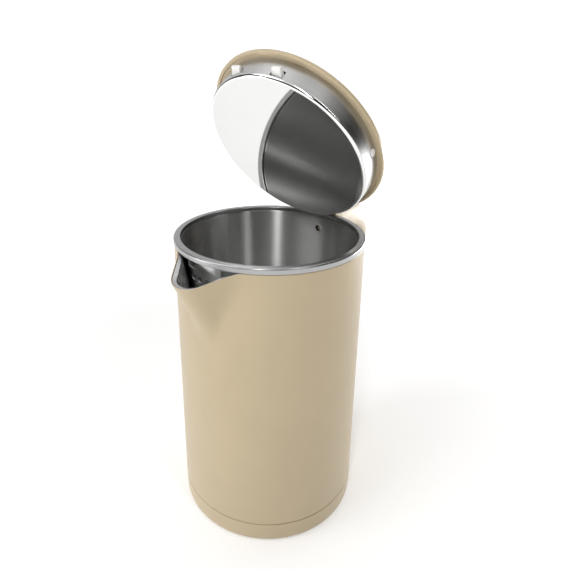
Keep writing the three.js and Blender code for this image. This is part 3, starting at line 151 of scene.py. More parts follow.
class Finish(Shading):
    """A material whose shader is built up from noise, masks and bumps."""

    def __init__(self, name, color, roughness, metallic=0.0, **constants):
        self.material = bpy.data.materials.new(name)
        self.material.use_nodes = True
        super().__init__(self.material.node_tree)
        self.shader = self.tree.nodes["Principled BSDF"]
        self.set("Base Color", (*color, 1))
        self.set("Roughness", roughness)
        self.set("Metallic", metallic)
        for socket, value in constants.items():
            self.set(socket.replace("_", " "), value)

    def set(self, socket, value):
        self.connect(self.shader.inputs[socket], value)

    def place(self, tilt=None):
        """Position in the part's frame, turned back by tilt = (centre, angle about Y)."""
        coords = self.node("ShaderNodeTexCoord").outputs["Object"]
        if tilt is None:
            return coords
        centre, angle = tilt
        return self.node("ShaderNodeVectorRotate", {"rotation_type": "Y_AXIS"}, {
            "Vector": coords, "Center": centre, "Angle": angle}).outputs[0]

    def noise(self, vector, scale, detail=3.0, rough=0.55):
        node = self.node("ShaderNodeTexNoise", {"noise_dimensions": "3D"}, {
            "Vector": vector, "Scale": scale, "Detail": detail, "Roughness": rough})
        return Value(self, node.outputs[0])

    def lathe_lines(self, across, along, tilt=None):
        """Noise drawn out round the Z axis, as brushing on a turned surface leaves it."""
        place = self.place(tilt)
        split = self.node("ShaderNodeSeparateXYZ", None, [place])
        x, y, z = (Value(self, out) for out in split.outputs)
        radius = (x * x + y * y) ** 0.5
        turn = self.node("ShaderNodeCombineXYZ", None, [
            (radius + z) * across, x / (radius + 1e-4) * along, y / (radius + 1e-4) * along])
        return self.noise(turn.outputs[0], scale=1.0, detail=2.0, rough=0.6)

    def blended(self, share, low, high):
        node = self.node("ShaderNodeMix", {"data_type": "RGBA", "blend_type": "MIX"})
        self.connect(node.inputs[0], share)
        for entry, color in ((6, low), (7, high)):
            self.connect(node.inputs[entry], (*color, 1) if isinstance(color, tuple) else color)
        return node.outputs[2]

    def span(self, value, low, high):
        """value from 0 to 1, laid over low to high."""
        return value * (high - low) + low

    def bump(self, height, distance):
        """Relief of a depth in metres."""
        node = self.node("ShaderNodeBump", None, {
            "Height": height, "Distance": distance, "Strength": 1.0})
        self.set("Normal", node.outputs[0])


def shade(color, factor):
    return tuple(min(channel * factor, 1.0) for channel in color)


def moulded_plastic(name, color, roughness=0.4, mottle=0.03, grain=6e-6, tilt=None):
    """Moulded plastic: faint flow marks in the colour, a fine skin and a soft sheen."""
    finish = Finish(name, color, roughness)
    place = finish.place(tilt)
    flow = finish.noise(place, scale=14.0)
    cloud = finish.noise(place, scale=60.0, detail=2.0)
    skin = finish.noise(place, scale=3200.0, detail=2.0)
    share = finish.clipped(flow * 0.7 + cloud * 0.3, 0.3, 0.7)
    finish.set("Base Color", finish.blended(
        share, shade(color, 1 - mottle), shade(color, 1 + mottle)))
    finish.set("Roughness", finish.span(cloud, roughness - 0.05, roughness + 0.05)
               + (skin - 0.5) * 0.06)
    finish.bump(skin * 0.7 + cloud * 0.3, grain)
    return finish.material


def brushed_metal(name, color, roughness, lines, depth, spread=0.05, **constants):
    """Metal brushed round the axis: fine lines in tone, gloss and height, with soft stains."""
    finish = Finish(name, color, roughness, 1.0, **constants)
    line = finish.lathe_lines(across=2200.0, along=2.2)
    fine = finish.lathe_lines(across=6820.0, along=4.4)
    stain = finish.noise(finish.place(), scale=30.0)
    brushing = line * 0.6 + fine * 0.4
    share = finish.clipped(brushing, 0.25, 0.75)
    worn = finish.clipped(stain, 0.35, 0.7)
    tone = finish.blended(share, shade(color, 1 - lines), shade(color, 1 + lines))
    finish.set("Base Color", finish.blended(worn * 0.25, tone, shade(color, 0.9)))
    finish.set("Roughness", finish.span(share, roughness - spread, roughness + spread)
               + worn * spread * 0.8)
    finish.bump(brushing, depth)
    return finish.material


def polished_pan(name, color, tilt, disc_top):
    """A steel pressing with a mirror disc and a satin band round it."""
    finish = Finish(name, color, 0.05, 1.0)
    place = finish.place(tilt)
    up = Value(finish, finish.node("ShaderNodeSeparateXYZ", None, [place]).outputs[2])
    band = finish.clipped(up, disc_top, disc_top + 1.5 * MM)
    buff = finish.lathe_lines(across=3800.0, along=6.0, tilt=tilt)
    line = finish.lathe_lines(across=1100.0, along=1.2, tilt=tilt)
    film = finish.clipped(finish.noise(place, scale=24.0, detail=4.0), 0.4, 0.75)
    share = finish.clipped(line, 0.3, 0.7)
    mirror = finish.blended(film * 0.5, color, shade(color, 0.94))
    satin = finish.blended(share, shade(color, 0.64), shade(color, 0.7))
    finish.set("Base Color", finish.blended(band, mirror, satin))
    finish.set("Roughness", 0.035 + film * 0.025 + (buff - 0.5) * 0.02
               + band * (0.24 + share * 0.03))
    finish.bump(buff * 0.1 + line * band * 0.4, 6e-7)
    return finish.material


def cast_metal(name, color, roughness, grain=900.0, depth=3e-5):
    """Metal as it comes from a die or a drawing bench: cloudy, grainy and a little dull."""
    finish = Finish(name, color, roughness, 1.0)
    place = finish.place()
    cloud = finish.noise(place, scale=45.0, detail=4.0)
    pores = finish.noise(place, scale=grain)
    share = finish.clipped(cloud, 0.3, 0.7)
    finish.set("Base Color", finish.blended(share, shade(color, 0.82), shade(color, 1.1)))
    finish.set("Roughness", finish.span(pores, roughness - 0.1, roughness + 0.12))
    finish.bump(pores, depth)
    return finish.material


def soft_rubber(name, color):
    """Rubber: matt, with a fine dusty grain."""
    finish = Finish(name, color, 0.82)
    place = finish.place()
    dust = finish.noise(place, scale=240.0, detail=4.0)
    grain = finish.noise(place, scale=2400.0, detail=2.0)
    share = finish.clipped(dust, 0.45, 0.8)
    finish.set("Base Color", finish.blended(share, color, shade(color, 1.8)))
    finish.set("Roughness", finish.span(dust, 0.74, 0.9))
    finish.bump(grain, 2e-5)
    return finish.material


def clear_lens(name, color):
    """A clear moulded lens with faint swirls."""
    finish = Finish(name, color, 0.12, Transmission_Weight=0.85, IOR=1.49)
    swirl = finish.noise(finish.place(), scale=300.0)
    finish.set("Roughness", finish.span(swirl, 0.08, 0.2))
    finish.bump(swirl, 1e-5)
    return finish.material


# ---------- meshes ----------

ROUND = 192  # steps round a large turned piece
ROUND_MIDDLE = 96
ROUND_SMALL = 40


def spoke(radius, angle):
    return radius * cos(angle), radius * sin(angle)


def rounded(corners, steps):
    """A closed outline. Each corner is (across, up) or (across, up, radius)."""
    outline = []
    count = len(corners)
    for i, corner in enumerate(corners):
        here = Vector(corner[:2])
        radius = corner[2] if len(corner) > 2 else 0
        if not radius:
            outline.append(here)
            continue
        before = (Vector(corners[i - 1][:2]) - here).normalized()
        after = (Vector(corners[(i + 1) % count][:2]) - here).normalized()
        half = before.angle(after) / 2
        reach = radius / tan(half)
        centre = here + (before + after).normalized() * radius / sin(half)
        start, end = here + before * reach - centre, here + after * reach - centre
        first = atan2(start.y, start.x)
        sweep = (atan2(end.y, end.x) - first + pi) % (2 * pi) - pi
        outline += [centre + Vector(spoke(1, first + sweep * k / steps)) * radius
                    for k in range(steps + 1)]
    return outline


def rounded_box(left, right, low, high, radius, steps):
    return rounded([(left, low, radius), (right, low, radius), (right, high, radius),
                    (left, high, radius)], steps)


def new_piece(name, mesh):
    """An object from a mesh that is in millimetres."""
    bmesh.ops.scale(mesh, vec=(MM, MM, MM), verts=mesh.verts)
    return object_from(name, mesh)


def object_from(name, mesh):
    data = bpy.data.meshes.new(name)
    bmesh.ops.recalc_face_normals(mesh, faces=mesh.faces)
    mesh.to_mesh(data)
    mesh.free()
    piece = bpy.data.objects.new(name, data)
    bpy.context.scene.collection.objects.link(piece)
    return piece


def turned(name, outline, steps=ROUND):
    """A closed outline of (radius, height) turned about the Z axis."""
    mesh = bmesh.new()
    columns = []
    poles = {}
    for i in range(steps):
        angle = 2 * pi * i / steps
        column = []
        for j, (r, z) in enumerate(outline):
            if r < 1e-4:
                if j not in poles:
                    poles[j] = mesh.verts.new((0, 0, z))
                column.append(poles[j])
            else:
                column.append(mesh.verts.new((*spoke(r, angle), z)))
        columns.append(column)
    for i in range(steps):
        here, there = columns[i], columns[(i + 1) % steps]
        for j in range(len(outline)):
            k = (j + 1) % len(outline)
            corners = []
            for vert in (here[j], there[j], there[k], here[k]):
                if vert not in corners:
                    corners.append(vert)
            if len(corners) > 2:
                mesh.faces.new(corners)
    return new_piece(name, mesh)


def lofted(name, rings, looped=False):
    """A skin over closed rings of points. A looped skin joins its last ring to its first."""
    mesh = bmesh.new()
    rows = [[mesh.verts.new(point) for point in ring] for ring in rings]
    count = len(rows[0])
    for i in range(len(rows) if looped else len(rows) - 1):
        here, there = rows[i], rows[(i + 1) % len(rows)]
        for j in range(count):
            k = (j + 1) % count
            mesh.faces.new((here[j], there[j], there[k], here[k]))
    if not looped:
        for row in (rows[0], rows[-1]):
            for j in range(count // 2 - 1):
                mesh.faces.new((row[j], row[j + 1], row[count - 2 - j], row[count - 1 - j]))
    return new_piece(name, mesh)


def prism(name, outline, low, high, place=None):
    """A flat outline in X and Y made into a slab from low to high, then moved by a matrix."""
    mesh = bmesh.new()
    bottom = [mesh.verts.new((x, y, low)) for x, y in outline]
    top = [mesh.verts.new((x, y, high)) for x, y in outline]
    count = len(outline)
    mesh.faces.new(bottom)
    mesh.faces.new(top)
    for j in range(count):
        k = (j + 1) % count
        mesh.faces.new((bottom[j], bottom[k], top[k], top[j]))
    if place is not None:
        mesh.transform(place)
    return new_piece(name, mesh)


UPRIGHT = Matrix(((1, 0, 0, 0), (0, 0, -1, 0), (0, 1, 0, 0), (0, 0, 0, 1)))  # XY to XZ
FACING_X = Matrix(((0, 0, 1, 0), (1, 0, 0, 0), (0, 1, 0, 0), (0, 0, 0, 1)))  # XY to YZ


def upright(name, outline, y, thickness):
    """An outline in X and Z made into a plate centred on a given y."""
    return prism(name, outline, -y - thickness / 2, -y + thickness / 2, UPRIGHT)


def circle(radius, steps=ROUND_SMALL):
    return [spoke(radius, 2 * pi * i / steps) for i in range(steps)]


def rod(name, radius, start, end, steps=ROUND_SMALL):
    """A round bar from one point to another."""
    start, end = Vector(start), Vector(end)
    turn = (end - start).to_track_quat("Z", "Y").to_matrix().to_4x4()
    return prism(name, circle(radius, steps), 0, (end - start).length,
                 Matrix.Translation(start) @ turn)


def crosswise(name, radius, centre, half=20.0):
    """A round bar along Y, with its middle at a centre in the XZ plane."""
    return rod(name, radius, (centre.x, -half, centre.z), (centre.x, half, centre.z))


def post(radius, low, high, x=0, y=0):
    return rod("post", radius, (x, y, low), (x, y, high))


def posts(places, radius, low, high):
    return [post(radius, low, high, x, y) for x, y in places]


def arc(cx, cy, radius, low, high, steps):
    """Points of an arc between two angles in degrees."""
    spokes = (spoke(radius, radians(low + (high - low) * i / steps))
              for i in range(steps + 1))
    return [(cx + x, cy + y) for x, y in spokes]


def around(count, radius, start):
    """Places evenly round the axis, from a start in degrees."""
    return [spoke(radius, radians(start + 360 * i / count)) for i in range(count)]


def stadium(length, width, middle):
    """A slot-shaped outline that is long in Y."""
    straight = (length - width) / 2
    return (arc(middle, straight, width / 2, 0, 180, 20)
            + arc(middle, -straight, width / 2, 180, 360, 20))


def piped(name, points, outer, inner=None, sides=20):
    """A wire, or a tube with a bore, along a run of points."""
    points = [Vector(point) for point in points]
    mesh = bmesh.new()
    radii = [outer] if inner is None else [outer, inner]
    rows = []
    side = None
    for i, point in enumerate(points):
        ahead = (points[min(i + 1, len(points) - 1)] - points[max(i - 1, 0)]).normalized()
        side = ahead.orthogonal() if side is None else side - ahead * side.dot(ahead)
        side.normalize()
        over = ahead.cross(side)
        rows.append([[mesh.verts.new(point + (side * x + over * y)) for x, y in circle(r, sides)]
                     for r in radii])
    for here, there in zip(rows, rows[1:]):
        for near, far in zip(here, there):
            for j in range(sides):
                k = (j + 1) % sides
                mesh.faces.new((near[j], near[k], far[k], far[j]))
    for row in (rows[0], rows[-1]):
        if inner is None:
            mesh.faces.new(row[0])
        else:
            for j in range(sides):
                k = (j + 1) % sides
                mesh.faces.new((row[0][j], row[0][k], row[1][k], row[1][j]))
    return new_piece(name, mesh)


def smooth_route(points, steps):
    """Points of a Catmull-Rom curve through a run of points."""
    points = [Vector(point) for point in points]
    ends = [points[0] * 2 - points[1], *points, points[-1] * 2 - points[-2]]
    route = []
    for a, b, c, d in zip(ends, ends[1:], ends[2:], ends[3:]):
        for k in range(steps):
            t = k / steps
            route.append((b * 2 + (c - a) * t + (a * 2 - b * 5 + c * 4 - d) * t * t
                          + (b * 3 - a - c * 3 + d) * t ** 3) / 2)
    return [*route, points[-1]]


def settle(piece):
    """The piece's modifiers become part of its mesh."""
    seen = piece.evaluated_get(bpy.context.evaluated_depsgraph_get())
    data = bpy.data.meshes.new_from_object(seen)
    piece.modifiers.clear()
    old, piece.data = piece.data, data
    bpy.data.meshes.remove(old)
    return piece


def gathered(tools):
    """Separate tools made into one mesh, so that one boolean does them all."""
    mesh = bmesh.new()
    for tool in tools:
        mesh.from_mesh(tool.data)
        remove(tool)
    return object_from("tools", mesh)


def remove(piece):
    data = piece.data
    bpy.data.objects.remove(piece)
    bpy.data.meshes.remove(data)


def combined(piece, tools, operation):
    for tool in tools:
        step = piece.modifiers.new(operation, "BOOLEAN")
        step.operation = operation
        step.solver = "EXACT"
        step.object = tool
    settle(piece)
    for tool in tools:
        remove(tool)
    return piece


def carved(piece, *tools):
    return combined(piece, [gathered(tools)], "DIFFERENCE")


def fused(piece, *others):
    return combined(piece, others, "UNION")


def softened(piece, width, steps=3, angle=35):
    """Rounds the piece's sharp edges by a width in millimetres."""
    step = piece.modifiers.new("edges", "BEVEL")
    step.width = width * MM
    step.segments = steps
    step.limit_method = "ANGLE"
    step.angle_limit = radians(angle)
    return settle(piece)


def placed(piece, matrix):
    """Moves the piece's mesh by a matrix in metres."""
    piece.data.transform(matrix)
    return piece


def at(x, y, z=0.0):
    return Matrix.Translation((x * MM, y * MM, z * MM))


SLOT_OF = {part["node"]: part["material_slot"] for part in frame["record"]["subparts"]}
BODY_OF = {node: body for body, nodes in frame["record"]["behaviour"]["bodies"].items()
           for node in nodes}
SHARP = radians(32)


def finished(piece, node, material=None):
    """Gives the piece its finish and its shading, and lets it stand for a node on its body."""
    piece.data.materials.clear()
    piece.data.materials.append(material or FINISHES[SLOT_OF[node]])
    piece.data.shade_smooth()
    piece.data.set_sharp_from_angle(angle=SHARP)
    step = piece.modifiers.new("normals", "WEIGHTED_NORMAL")
    step.keep_sharp = True
    settle(piece)
    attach(piece, BODY_OF[node])
    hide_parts(node)


# ---------- finishes ----------

JOINTS = {joint["name"]: joint for joint in frame["joints"]}
LID_HINGE = Vector(JOINTS["lid_hinge"]["pos_m"])
OPEN = -radians(JOINTS["lid_hinge"]["range_deg"][0])
LID_TILT = (tuple(LID_HINGE), -OPEN)
LID_PLACE = (Matrix.Translation(LID_HINGE) @ Matrix.Rotation(OPEN, 4, "Y")
             @ Matrix.Translation(-LID_HINGE))
PLUG_DEPTH = 15.2

CREAM = (0.53, 0.428, 0.275)


def box(node):
    """A node's lowest and highest corners in millimetres."""
    return [Vector(corner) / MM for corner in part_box(node)]


def height(node):
    low, high = box(node)
    return low.z, high.z


RING_LOW, RING_TOP = height("rim_ring")
LID_Z = RING_TOP + 0.6
PLUG_Z = LID_Z - PLUG_DEPTH

lid_cream = moulded_plastic("satin_cream_lid", CREAM, 0.34, 0.025, tilt=LID_TILT)
rim_steel = brushed_metal("rim_steel", (0.40, 0.40, 0.40), 0.28, 0.04, 1e-6, spread=0.03)
lip_steel = brushed_metal("lip_steel", (0.55, 0.55, 0.55), 0.26, 0.06, 2e-6)

FINISHES = {
    "body_plastic": moulded_plastic("satin_cream", CREAM, 0.36, 0.025),
    "white_plastic": moulded_plastic("white_plastic", (0.80, 0.79, 0.76), 0.4),
    "grey_plastic": moulded_plastic("grey_plastic", (0.22, 0.215, 0.205), 0.6, 0.06, 3e-5),
    "black_plastic": moulded_plastic(
        "black_plastic", (0.012, 0.012, 0.014), 0.42, 0.2, 1.5e-5),
    "rubber": soft_rubber("rubber", (0.03, 0.03, 0.032)),
    "brushed_steel": brushed_metal("pot_steel", (0.60, 0.60, 0.59), 0.36, 0.05, 8e-7,
                                   spread=0.02, Anisotropic=1.0, Anisotropic_Rotation=0.25),
    "polished_steel": polished_pan(
        "pan_steel", (0.88, 0.88, 0.87), LID_TILT, (PLUG_Z + 0.6) * MM),
    "aluminium": cast_metal("heater_metal", (0.52, 0.53, 0.55), 0.45),
    "element_steel": cast_metal("element_metal", (0.22, 0.20, 0.18), 0.5, 1500.0, 2e-5),
    "fastener_steel": cast_metal("screw_metal", (0.45, 0.46, 0.48), 0.3, 2600.0, 6e-6),
    "brass": cast_metal("brass_contact", (0.62, 0.43, 0.16), 0.28, 1800.0, 5e-6),
    "lens": clear_lens("clear_lens", (0.85, 0.92, 0.97)),
}
for name, slot in SLOT_OF.items():
    node = frame["nodes"][name]
    node.data.materials.clear()
    node.data.materials.append(FINISHES[slot])


# ---------- sizes that the fine surfaces share with the frame ----------

FIT = 0.3  # gap between pieces that fit together
WALL = 2.4  # the plastic's thickness
BASE_RIM, BASE_TOP = height("base_shell")
BODY_R = box("base_shell")[1].y
SHELL_LOW, SHELL_TOP = height("outer_shell")
SHELL_TOP_R = BODY_R - 5
RING_R = box("rim_ring")[1].y
POT_LOW, POT_TOP = height("inner_pot")
POT_R, POT_WALL, POT_TAPER = 65.3, 0.7, 3.4
POT_FLOOR = POT_LOW + POT_WALL
STEAM_Z = SHELL_TOP - 9.8
HINGE = LID_HINGE / MM
PIVOT = Vector(JOINTS["switch_hinge"]["pos_m"]) / MM
PIN_HOLE = 1.8
HINGE_ROUND = 3.1  # radius of the knuckles and the ears
GRIP_REACH, GRIP_DEPTH, GRIP_HALF = 135.0, 23.0, 13.5
HANDLE_TOP, HANDLE_LOW = 236.4, 50.0

BEAK_REACH, BEAK_TIP = 91.0, 16.3  # reach from the axis, and radius of the tip in plan
BEAK_FLANK = radians(53.2)  # a flank's normal, from -X
BEAK_DROP, DROP_POWER = 9.0, 1.15  # how far the edge dips at the tip, and how it runs there
BEAK_RAKE = 0.47  # how fast the ridge falls back going down
BEAK_BLEND = 5.0
LIP_ROUND, FOOT_ROUND = 0.6, 0.9
LINER_WALL, LINER_TRIM, LINER_LIP = 0.9, 0.7, 3.2
LINER_START = 0.32  # the lining's foot, as a share of the way up the beak


def shell_radius(z):
    share = (z - SHELL_LOW) / (SHELL_TOP - SHELL_LOW)
    return BODY_R + (SHELL_TOP_R - BODY_R) * share


def pot_radius(z):
    return POT_R - POT_TAPER * (POT_TOP - z) / (POT_TOP - POT_FLOOR)


def beak_outline(angle, back, inset):
    """Distance from the axis to the beak's plan outline, at an angle from -X."""
    tip = BEAK_TIP - inset
    centre = BEAK_REACH - BEAK_TIP - back
    a = abs(angle)
    touch = atan2(tip * sin(BEAK_FLANK), centre + tip * cos(BEAK_FLANK))
    if a < touch:
        return centre * cos(a) + sqrt(tip ** 2 - (centre * sin(a)) ** 2)
    return (centre * cos(BEAK_FLANK) + tip) / max(cos(a - BEAK_FLANK), 0.2)


BEAK_HALF = BEAK_FLANK - acos(
    ((BEAK_REACH - BEAK_TIP) * cos(BEAK_FLANK) + BEAK_TIP) / SHELL_TOP_R)
BEAK_ROOT = SHELL_TOP - BEAK_DROP - (BEAK_REACH - SHELL_TOP_R) / BEAK_RAKE - 4


def edge_height(angle):
    """Height of the body's top edge, which dips along the beak."""
    if abs(angle) >= BEAK_HALF:
        return SHELL_TOP
    start = SHELL_TOP_R * cos(BEAK_HALF)
    along = beak_outline(angle, 0, 0) * cos(angle)
    share = min(max((along - start) / (BEAK_REACH - start), 0), 1)
    return SHELL_TOP - BEAK_DROP * share ** DROP_POWER


def body_radius(angle, z, inset=0.0):
    plain = shell_radius(z) - inset
    if abs(angle) > BEAK_FLANK:
        return plain
    beak = beak_outline(angle, BEAK_RAKE * max(edge_height(angle) - z, 0), inset)
    near = max(BEAK_BLEND - abs(plain - beak), 0) / BEAK_BLEND
    return max(plain, beak) + near * near * BEAK_BLEND / 4


def polar(angle, r, z):
    """A point at an angle from -X."""
    return Vector((-r * cos(angle), r * sin(angle), z))


# ---------- body ----------

LEVER_GAP = {"left": -8.2, "right": 8.2, "low": 27.9, "high": 37.3, "radius": 1.2}
LATCH_APART = 33.0
POT_WINDOW, PAN_WINDOW = (226.7, 232.1, 4.2), (226.9, 232.7, 4.4)  # low, high, half width
STRAINER_ROWS = (5, 4, 5, 4)  # holes in each row, from the top down
STRAINER_TOP, STRAINER_PITCH, STRAINER_TURN = 220.5, 6.6, radians(6.3)
STRAINER_HOLE, STEAM_HOLE, EYELET = 2.25, 2.7, 3.7  # radii


def body_angles():
    """Angles from -X round the body, close together along the beak."""
    beak = [BEAK_HALF * i / 44 for i in range(45)]
    near = [BEAK_HALF + radians(a) for a in (0.15, 0.8, 1.6, 2.6, 3.8, 5.2, 7, 9, 11, 13)]
    rest = [radians(a) for a in range(39, 180, 3)]
    half = beak + near + rest
    return [-a for a in reversed(half[1:])] + half + [pi]


def body_profile(angle):
    """Points up the outside of the shell at one angle, over its edge and down the inside."""
    top, low = edge_height(angle), SHELL_LOW
    profile = [(shell_radius(low) - FOOT_ROUND * (1 - sin(t)),
                low + FOOT_ROUND * (1 - cos(t)))
               for t in (pi / 2 * k / 4 for k in range(5))]
    heights = [low + (BEAK_ROOT - low) * k / 8 for k in range(1, 8)]
    heights += [BEAK_ROOT + (top - LIP_ROUND - BEAK_ROOT) * k / 44 for k in range(45)]
    profile += [(body_radius(angle, z), z) for z in heights]
    for k in range(1, 6):
        t = pi / 2 * k / 5
        z = top - LIP_ROUND * (1 - sin(t))
        profile.append((body_radius(angle, z) - LIP_ROUND * (1 - cos(t)), z))
    if abs(angle) <= BEAK_HALF:
        edge = body_radius(angle, top) - LINER_TRIM
        deep = top - LINER_WALL - FIT
        profile += [(edge, top - 0.05), (edge, deep),
                    (body_radius(angle, top, WALL) + 0.05, deep),
                    (body_radius(angle, deep, WALL), deep - 0.05)]
    else:
        inner = body_radius(angle, top, WALL)
        profile += [(inner + 0.6, top), (inner + 0.3, top), (inner + 0.05, top - 0.1),
                    (inner, top - 0.4)]
    profile += [(body_radius(angle, z, WALL), z) for z in reversed(heights) if z < top - 1.5]
    return [polar(angle, r, z) for r, z in profile], polar(angle, shell_radius(low) - WALL, low)


def body_shell():
    rings = [body_profile(angle) for angle in body_angles()]
    count = min(len(ring) for ring, _ in rings)
    piece = lofted("body_shell", [ring[:count] + [last] for ring, last in rings], looped=True)
    return carved(piece, prism("gap", rounded_box(**LEVER_GAP, steps=5), 60, 90, FACING_X))


def hole_tool(radius, angle, z, low, high):
    """A round cutter that lies along a radius of the body."""
    return rod("hole", radius, polar(angle, low, z), polar(angle, high, z), 28)


def latch_windows(low, high, half, near, far):
    """Cutters for the two windows of the latch's tongues, on the beak's side."""
    return [prism("window", rounded_box(middle - half, middle + half, low, high, 0.8, 4),
                  -far, -near, FACING_X) for middle in (-LATCH_APART / 2, LATCH_APART / 2)]


def pot():
    wall_low = pot_radius(POT_FLOOR)
    flange_r = box("inner_pot")[1].y
    outline = rounded([
        (0, POT_FLOOR), (wall_low, POT_FLOOR, 9), (POT_R, POT_TOP, 0.6),
        (flange_r, POT_TOP, 0.15), (flange_r, POT_TOP - 0.8),
        (POT_R + POT_WALL, POT_TOP - 0.8), (wall_low + POT_WALL, POT_LOW, 9.7),
        (0, POT_LOW)], 10)
    near, far = POT_R - 8, POT_R + 3
    tools = [hole_tool(STRAINER_HOLE, (i - (count - 1) / 2) * STRAINER_TURN,
                       STRAINER_TOP - STRAINER_PITCH * row, near, far)
             for row, count in enumerate(STRAINER_ROWS) for i in range(count)]
    tools += latch_windows(*POT_WINDOW, near, far)
    tools.append(hole_tool(STEAM_HOLE, pi, STEAM_Z, near, far))
    wall = pot_radius(STEAM_Z)
    eyelet = hole_tool(EYELET, pi, STEAM_Z, wall - 0.5, wall + 0.3)
    return carved(fused(turned("pot", outline), eyelet), *tools)


def rim():
    outline = rounded([
        (POT_R, RING_LOW + 1.1), (RING_R - 0.9, RING_LOW + 1.1), (RING_R - 0.9, RING_LOW),
        (RING_R, RING_LOW, 0.15), (RING_R, RING_TOP, 1.3), (POT_R, RING_TOP, 0.9)], 10)
    return turned("rim_ring_fine", outline)


def beak_liner():
    """The channel of steel in the beak, with its flat lip along the edge."""
    ends = BEAK_HALF - radians(0.3)
    rings = []
    for i in range(-40, 41):
        angle = ends * i / 40
        top = edge_height(angle)
        pot_side = pot_radius(top) + POT_WALL + FIT
        deep = BEAK_ROOT + (top - BEAK_ROOT) * LINER_START

        def wall(z, inset):
            return max(body_radius(angle, z, WALL + FIT + inset),
                       pot_side + LINER_WALL - inset), z

        lip = body_radius(angle, top, LINER_TRIM + FIT)
        back = max(body_radius(angle, top, LINER_TRIM + LINER_LIP), pot_side)
        heights = [top - 1.6 + (deep - top + 1.6) * k / 24 for k in range(25)]
        profile = [(lip, top - LINER_WALL * 0.6), (lip, top - LINER_WALL),
                   wall(top - LINER_WALL, 0)]
        profile += [wall(z, 0) for z in heights]
        profile += [wall(z, LINER_WALL) for z in reversed(heights)]
        profile += [(back, top - 0.7), (back + 0.25, top - 0.12),
                    (back + 0.6, top), (lip - 0.2, top), (lip, top - 0.15)]
        rings.append([polar(angle, r, z) for r, z in profile])
    return lofted("beak_lining", rings)


def steam_tube():
    """From the steam hole through the handle and under the pot to the thermostat."""
    grip, leave = GRIP_REACH - GRIP_DEPTH / 2, HANDLE_LOW + WALL + 4.6
    under, control = POT_LOW - 3, box("thermostat_control")[1].z - 1.9
    points = [
        (POT_R + POT_WALL + FIT, 0, STEAM_Z), (SHELL_TOP_R + 14, 0, STEAM_Z),
        (grip - 12, 0, STEAM_Z - 3), (grip - 1.5, 0, STEAM_Z - 18), (grip, 0, STEAM_Z - 40),
        (grip, 0, leave + 46), (grip - 3, 0, leave + 22), (grip - 14, 0, leave + 6),
        (grip - 31, 0, leave), (BODY_R + 3, 0, leave), (BODY_R - 4, 0, leave),
        (BODY_R - 7.8, 0.2, leave - 1.4), (BODY_R - 11, 0.8, leave - 5),
        (BODY_R - 14, 2, under + 0.1), (BODY_R - 18, 3.4, under - 4.6),
        (49.3, 5, under - 6.2), (41.3, 6.5, under - 7.4), (33.3, 8, under - 9.2),
        (25.3, 9, control)]
    return piped("steam_tube_fine", smooth_route(points, 6), outer=3, inner=2)


finished(body_shell(), "outer_shell")
finished(pot(), "inner_pot")
finished(rim(), "rim_ring", rim_steel)
finished(beak_liner(), "spout_liner", lip_steel)
finished(steam_tube(), "steam_tube")


# ---------- power base ----------

BASE_SCREWS = around(3, BODY_R - 29, 60)
FEET = around(4, BODY_R - 17, 45)
SCREW_HEAD, SCREW_SHANK, SCREW_WAY, SCREW_WELL = 2.8, 1.4, 1.7, 3.1  # radii
BASE_SEAT, COVER_SEAT = 3.6, 20.6  # heights that the screws' heads bear on
DISH = BASE_TOP - 2.6
TOWER_R = 17.0
TOWER_TOP = box("base_connector")[1].z
GLAND_Z = (box("cord_gland")[0].z + box("cord_gland")[1].z) / 2


def base_cover():
    inner = BODY_R - WALL
    land, hole = BODY_R - 12, TOWER_R + FIT
    outline = rounded([
        (inner, BASE_RIM, 0.3), (BODY_R, BASE_RIM, 2.4), (BODY_R, BASE_TOP, 0.8),
        (land, BASE_TOP, 1), (land - 2.6, DISH, 1), (hole, DISH, 0.3), (hole, DISH - WALL),
        (land - 3.8, DISH - WALL), (land - 1.2, BASE_TOP - WALL), (inner, BASE_TOP - WALL)], 6)
    gland_hole = rod("hole", 5.5, (inner - 4, 0, GLAND_Z), (BODY_R + 2, 0, GLAND_Z))
    return carved(turned("base_cover", outline), gland_hole)


def base_floor():
    """The plate that closes the base: a pad in the middle, ripples, and wells for screws."""
    radius = BODY_R - WALL - FIT
    ripples = [(at + across, 1.2 + up) for at in (36, 41, 46, 51, 56, 61, 66)
               for across, up in ((0, 0), (0.5, 0.45), (1.5, 0.45), (2, 0))]
    outline = rounded([(0, 0), (30, 0, 0.5), (31.2, 1.2), *ripples, (radius, 1.2, 0.3),
                       (radius, 3.2, 0.3), (0, 3.2)], 4)
    raised = (posts(BASE_SCREWS, 4.6, 1.7, 6.2) + posts(FEET, 7.4, 1.2, 2.6)
              + posts(BASE_SCREWS, 4.6, 1.2, 2.6))
    wells = posts(FEET, 6.3, -1, 2.6) + posts(BASE_SCREWS, SCREW_WELL, -1, BASE_SEAT + FIT)
    piece = carved(fused(turned("base_floor", outline), *raised), *wells)
    return carved(piece, *posts(BASE_SCREWS, SCREW_WAY, 0, 8))


def foot():
    return turned("foot", rounded([
        (0, 0.35), (3.4, 0.35, 0.3), (3.8, 0, 0.3), (6, 0, 0.9), (6, 2.3, 0.2), (0, 2.3)], 5),
        ROUND_MIDDLE)


def screw(name, length, high):
    """A pan-headed screw with a cross recess. The head points down from z = 0."""
    head, shank = SCREW_HEAD, SCREW_SHANK
    body = turned(name, rounded([
        (0, -high), (head * 0.8, -high, 0.4), (head, -high * 0.45, 0.3), (head, 0, 0.1),
        (shank, 0), (shank, length - shank), (0.1, length), (0, length)], 5), ROUND_SMALL)
    half, arm = head * 0.14, head * 0.58
    corners, cross = [(half, half), (arm, half), (arm, -half)], []
    for _ in range(4):
        cross += corners
        corners = [(y, -x) for x, y in corners]
    return carved(body, prism("cross", cross, -high - 1, -high * 0.35))


